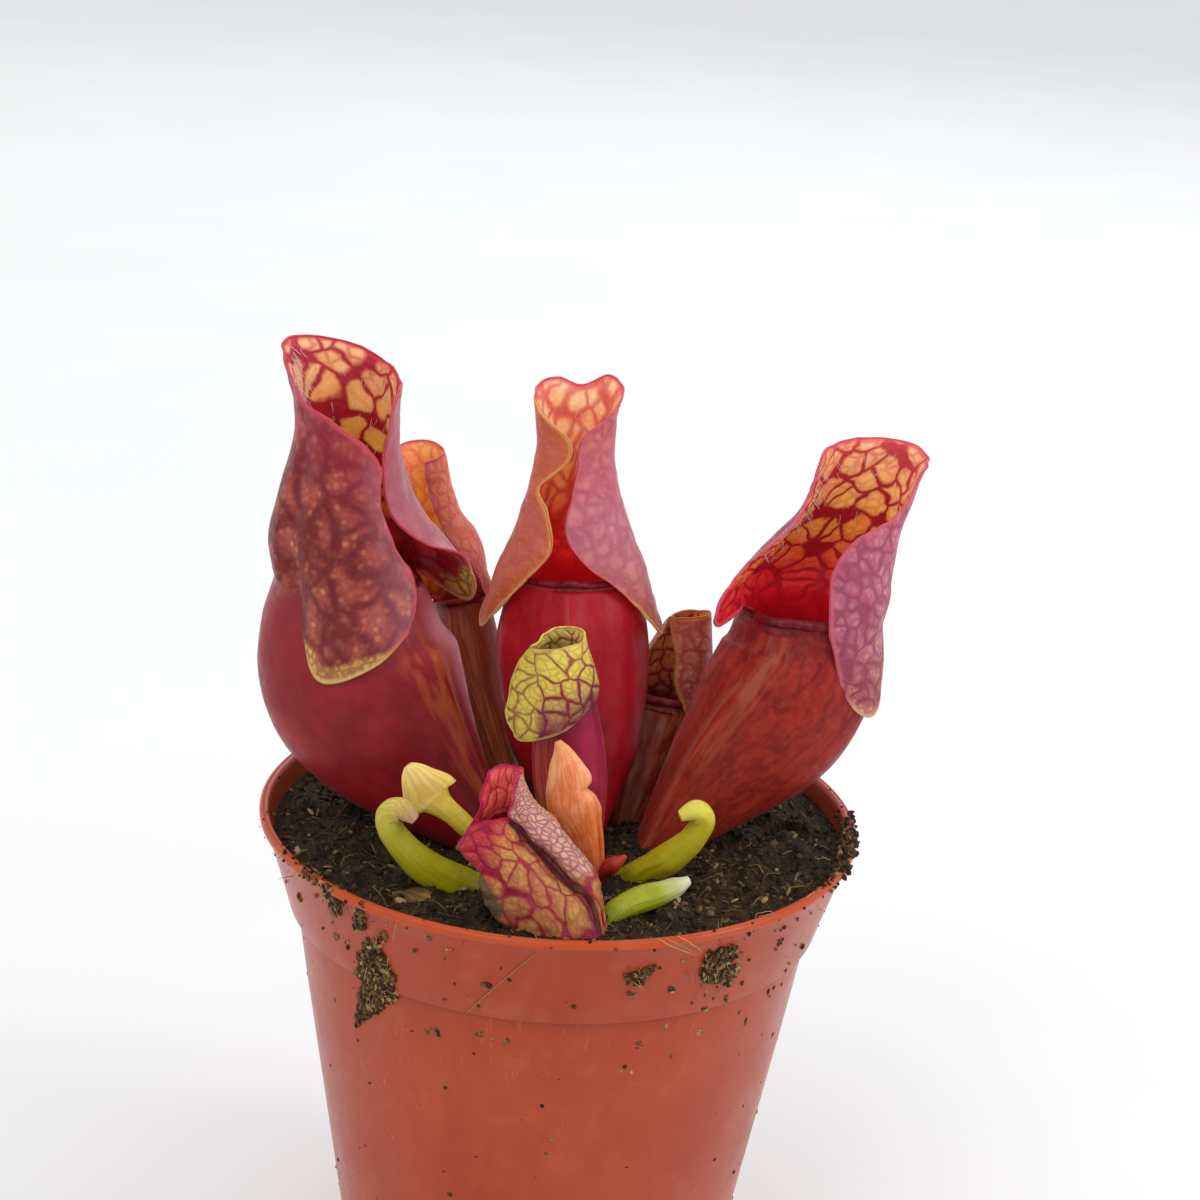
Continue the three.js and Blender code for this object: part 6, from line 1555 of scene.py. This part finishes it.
caked_skin = toned_skin("caked_peat_skin", "0 2a1a0e 0.45 50361c 0.8 7c5c34 1 b89c68")
# flakes, their least and greatest size, how far they stand out, and the outline
CAKED = {
    "peat_smear": (620, 0.18, 0.5, 0.15, """
        -120.4 76.4, -123.1 73.6, -126.3 73.1, -129.2 69.2, -131.1 66, -132.5 62.4, -134.6 58.7,
        -136.2 54.8, -122 63.3, -121.2 67.5, -121.7 70.2, -123.2 71.9"""),
    "peat_drip_left": (150, 0.16, 0.42, 0.15, """
        -142 80, -135.8 79.2, -134.6 77, -134.6 74.9, -132.7 75.2, -131.3 78.1, -132.4 80"""),
    "peat_drip_small": (90, 0.14, 0.38, 0.15, """
        -125.4 79.9, -127.6 77.5, -128.9 74.5, -125.7 75, -125.7 77, -125 79.7"""),
    "peat_clump_front": (90, 0.16, 0.42, 0.3, """
        -75.1 74.7, -75 73.6, -73 72.2, -71.3 73, -70.1 75.4, -72.4 74.5"""),
    "peat_clump_right": (260, 0.16, 0.44, 0.3, """
        -59 77.1, -60.7 74.9, -59.9 72.6, -55.5 69.6, -52.7 69.3, -50.3 71, -49.8 72, -53.5 73.5,
        -52.6 76.6, -55.6 76.1"""),
}
for name, (count, low, high, lift, outline) in CAKED.items():
    caked(name, points(outline), count, low, high, caked_skin, lift)
SPECKS = points("""
    -148 73.2, -135.8 70.4, -132.7 70.5, -115 59.5, -112.8 59.9, -102.9 61.5, -100.3 61, -97.1 60.9,
    -115 74.4, -65.5 70.3, -64.1 76.1, -41.5 76.3, -40 73.3, -51 66.4, -33.3 62.2, -50.9 78,
    -73.2 70.5, -40.3 59.1, -54.5 60.9, -55.7 65.1, -161.9 61.3, -68.9 60.5, -61.1 57.5, -31.2 54.4,
    -22.7 51.6, -107.5 76.1, -101.1 71, -109.4 66.8""")
a, z = np.array(SPECKS).T
spots = rng.integers(0, len(a), 160)
a = np.concatenate([a[spots] + rng.normal(size=160) * 0.4, rng.uniform(-180, 180, 420)])
z = np.concatenate([z[spots] + rng.normal(size=160) * 0.3, 79 - 70 * rng.uniform(0, 1, 420) ** 1.5])
t = np.radians(a)
r = wall_radius(z) + 0.05
crumbs("peat_specks", polar(r, t, z), 0.12 + 0.3 * rng.uniform(0, 1, len(a)) ** 1.6, caked_skin,
       normals=np.stack([np.cos(t), np.sin(t), 0 * t], -1), flatness=0.5, long=1.3)
# short fibres in the caked peat
a = np.concatenate([rng.normal(-128, 3.2, 60), rng.normal(-133.5, 1.6, 22), rng.normal(-55, 2.6, 46),
                    rng.normal(-73, 1.2, 14)])
z = np.concatenate([66 + (a[:60] + 128) * 1.5 + rng.normal(size=60) * 1.6, rng.uniform(75.5, 79, 22),
                    rng.normal(73, 1.7, 46), rng.normal(73.6, 0.8, 14)])
t = np.radians(a)
r = wall_radius(z) + 0.25
ways = np.stack([-np.sin(t) * rng.normal(size=len(a)) * 0.5, np.cos(t) * rng.normal(size=len(a)) * 0.5,
                 rng.choice([-1.0, 1.0], len(a))], -1)
strands("peat_smear_fibres", polar(r, t, z), ways, rng.uniform(0.8, 2.6, len(a)), 0.07,
        toned_skin("smear_fibre_skin", "0 5c4020 1 c0a06a", 0.8), curl=0.5)
# crumbs lying over the rim, thick on the right, a few on the left
a = np.concatenate([rng.normal(-8, 7, 190), rng.normal(-24, 5, 60), rng.normal(-141, 6, 60),
                    rng.uniform(-180, 180, 60)])
r = rng.uniform(42.6, 45.3, len(a))
size = rng.uniform(0.15, 0.62, len(a)) * np.where(np.abs(a + 8) < 16, 1.0, 0.6)
t = np.radians(a)
above = size * 0.3 * rng.uniform(-0.5, 1.2, len(a))
z = np.where(r > 43.6, 80.0, 79.4) + above - np.where(r > RIM, 0.9, 0)
crumbs("rim_crumbs", polar(r, t, z), size, peat_tones, flatness=0.7)
# a few loose root hairs over the rim and on the collar
hair_skin = toned_skin("root_hair_skin", "0 a88a5c 1 d8c096", 0.6)
on_rim = [(16.0, -41.6, 80.1), (17.6, -40.9, 80.2), (15.0, -41.9, 80.1), (36.0, -26.0, 80.1),
          (29.0, -33.0, 80.1), (-20.5, -39.2, 79.8)]
runs = [(1.0, -0.35, -0.25), (1.0, -0.2, -0.2), (1.0, -0.4, -0.3), (0.5, 0.8, 0.0), (0.9, 0.5, 0.0),
        (-0.2, -0.3, -0.8)]
strands("root_hairs", on_rim, runs, [5.0, 4.2, 5.6, 6.5, 6.0, 4.0], 0.06, hair_skin, curl=0.35,
        steps=12)
a = np.radians(np.linspace(-92, -106, 22))
z = np.linspace(77.6, 64.5, 22)
r = wall_radius(z) + 0.12
sweep("root_thread", polar(r, a, z), np.full(22, 0.055), hair_skin, 5)


# ---------------------------------------------------------------- hairs in the hoods
def hair_shade():
    """Pale, slightly see-through hairs."""
    s = Shader("hood_hair_skin", Specular_IOR_Level=0.3, Subsurface_Weight=0.2, Subsurface_Scale=0.0005)
    colour = s.mix(s.step(s.noise(s.place(), 1.5), 0.35, 0.65), rgb("e4ccd4"), rgb("c8a4b4"))
    return s.finish(colour, s.step(s.noise(s.place(), 0.5), 0.3, 0.7, 0.4, 0.55),
                    s.bump(s.noise(s.place(), 0.1), 0.00002))


hood_hair_skin = hair_shade()
for name, (roots, ways) in HAIRS.items():
    strands(name + "_hairs", roots, ways, rng.uniform(0.8, 1.8, len(roots)), 0.045, hood_hair_skin,
            curl=0.45, steps=6)


# ---------------------------------------------------------------- floor and finish
s = Shader("floor_skin", Specular_IOR_Level=0.3)
p = s.place()
s.finish(s.mix(s.step(s.noise(p, 90, 1.0), 0.3, 0.7), rgb("eaeaea"), rgb("ececed")),
         s.step(s.noise(p, 120, 1.0), 0.3, 0.7, 0.6, 0.66))
floor_mesh.materials.append(s.material)
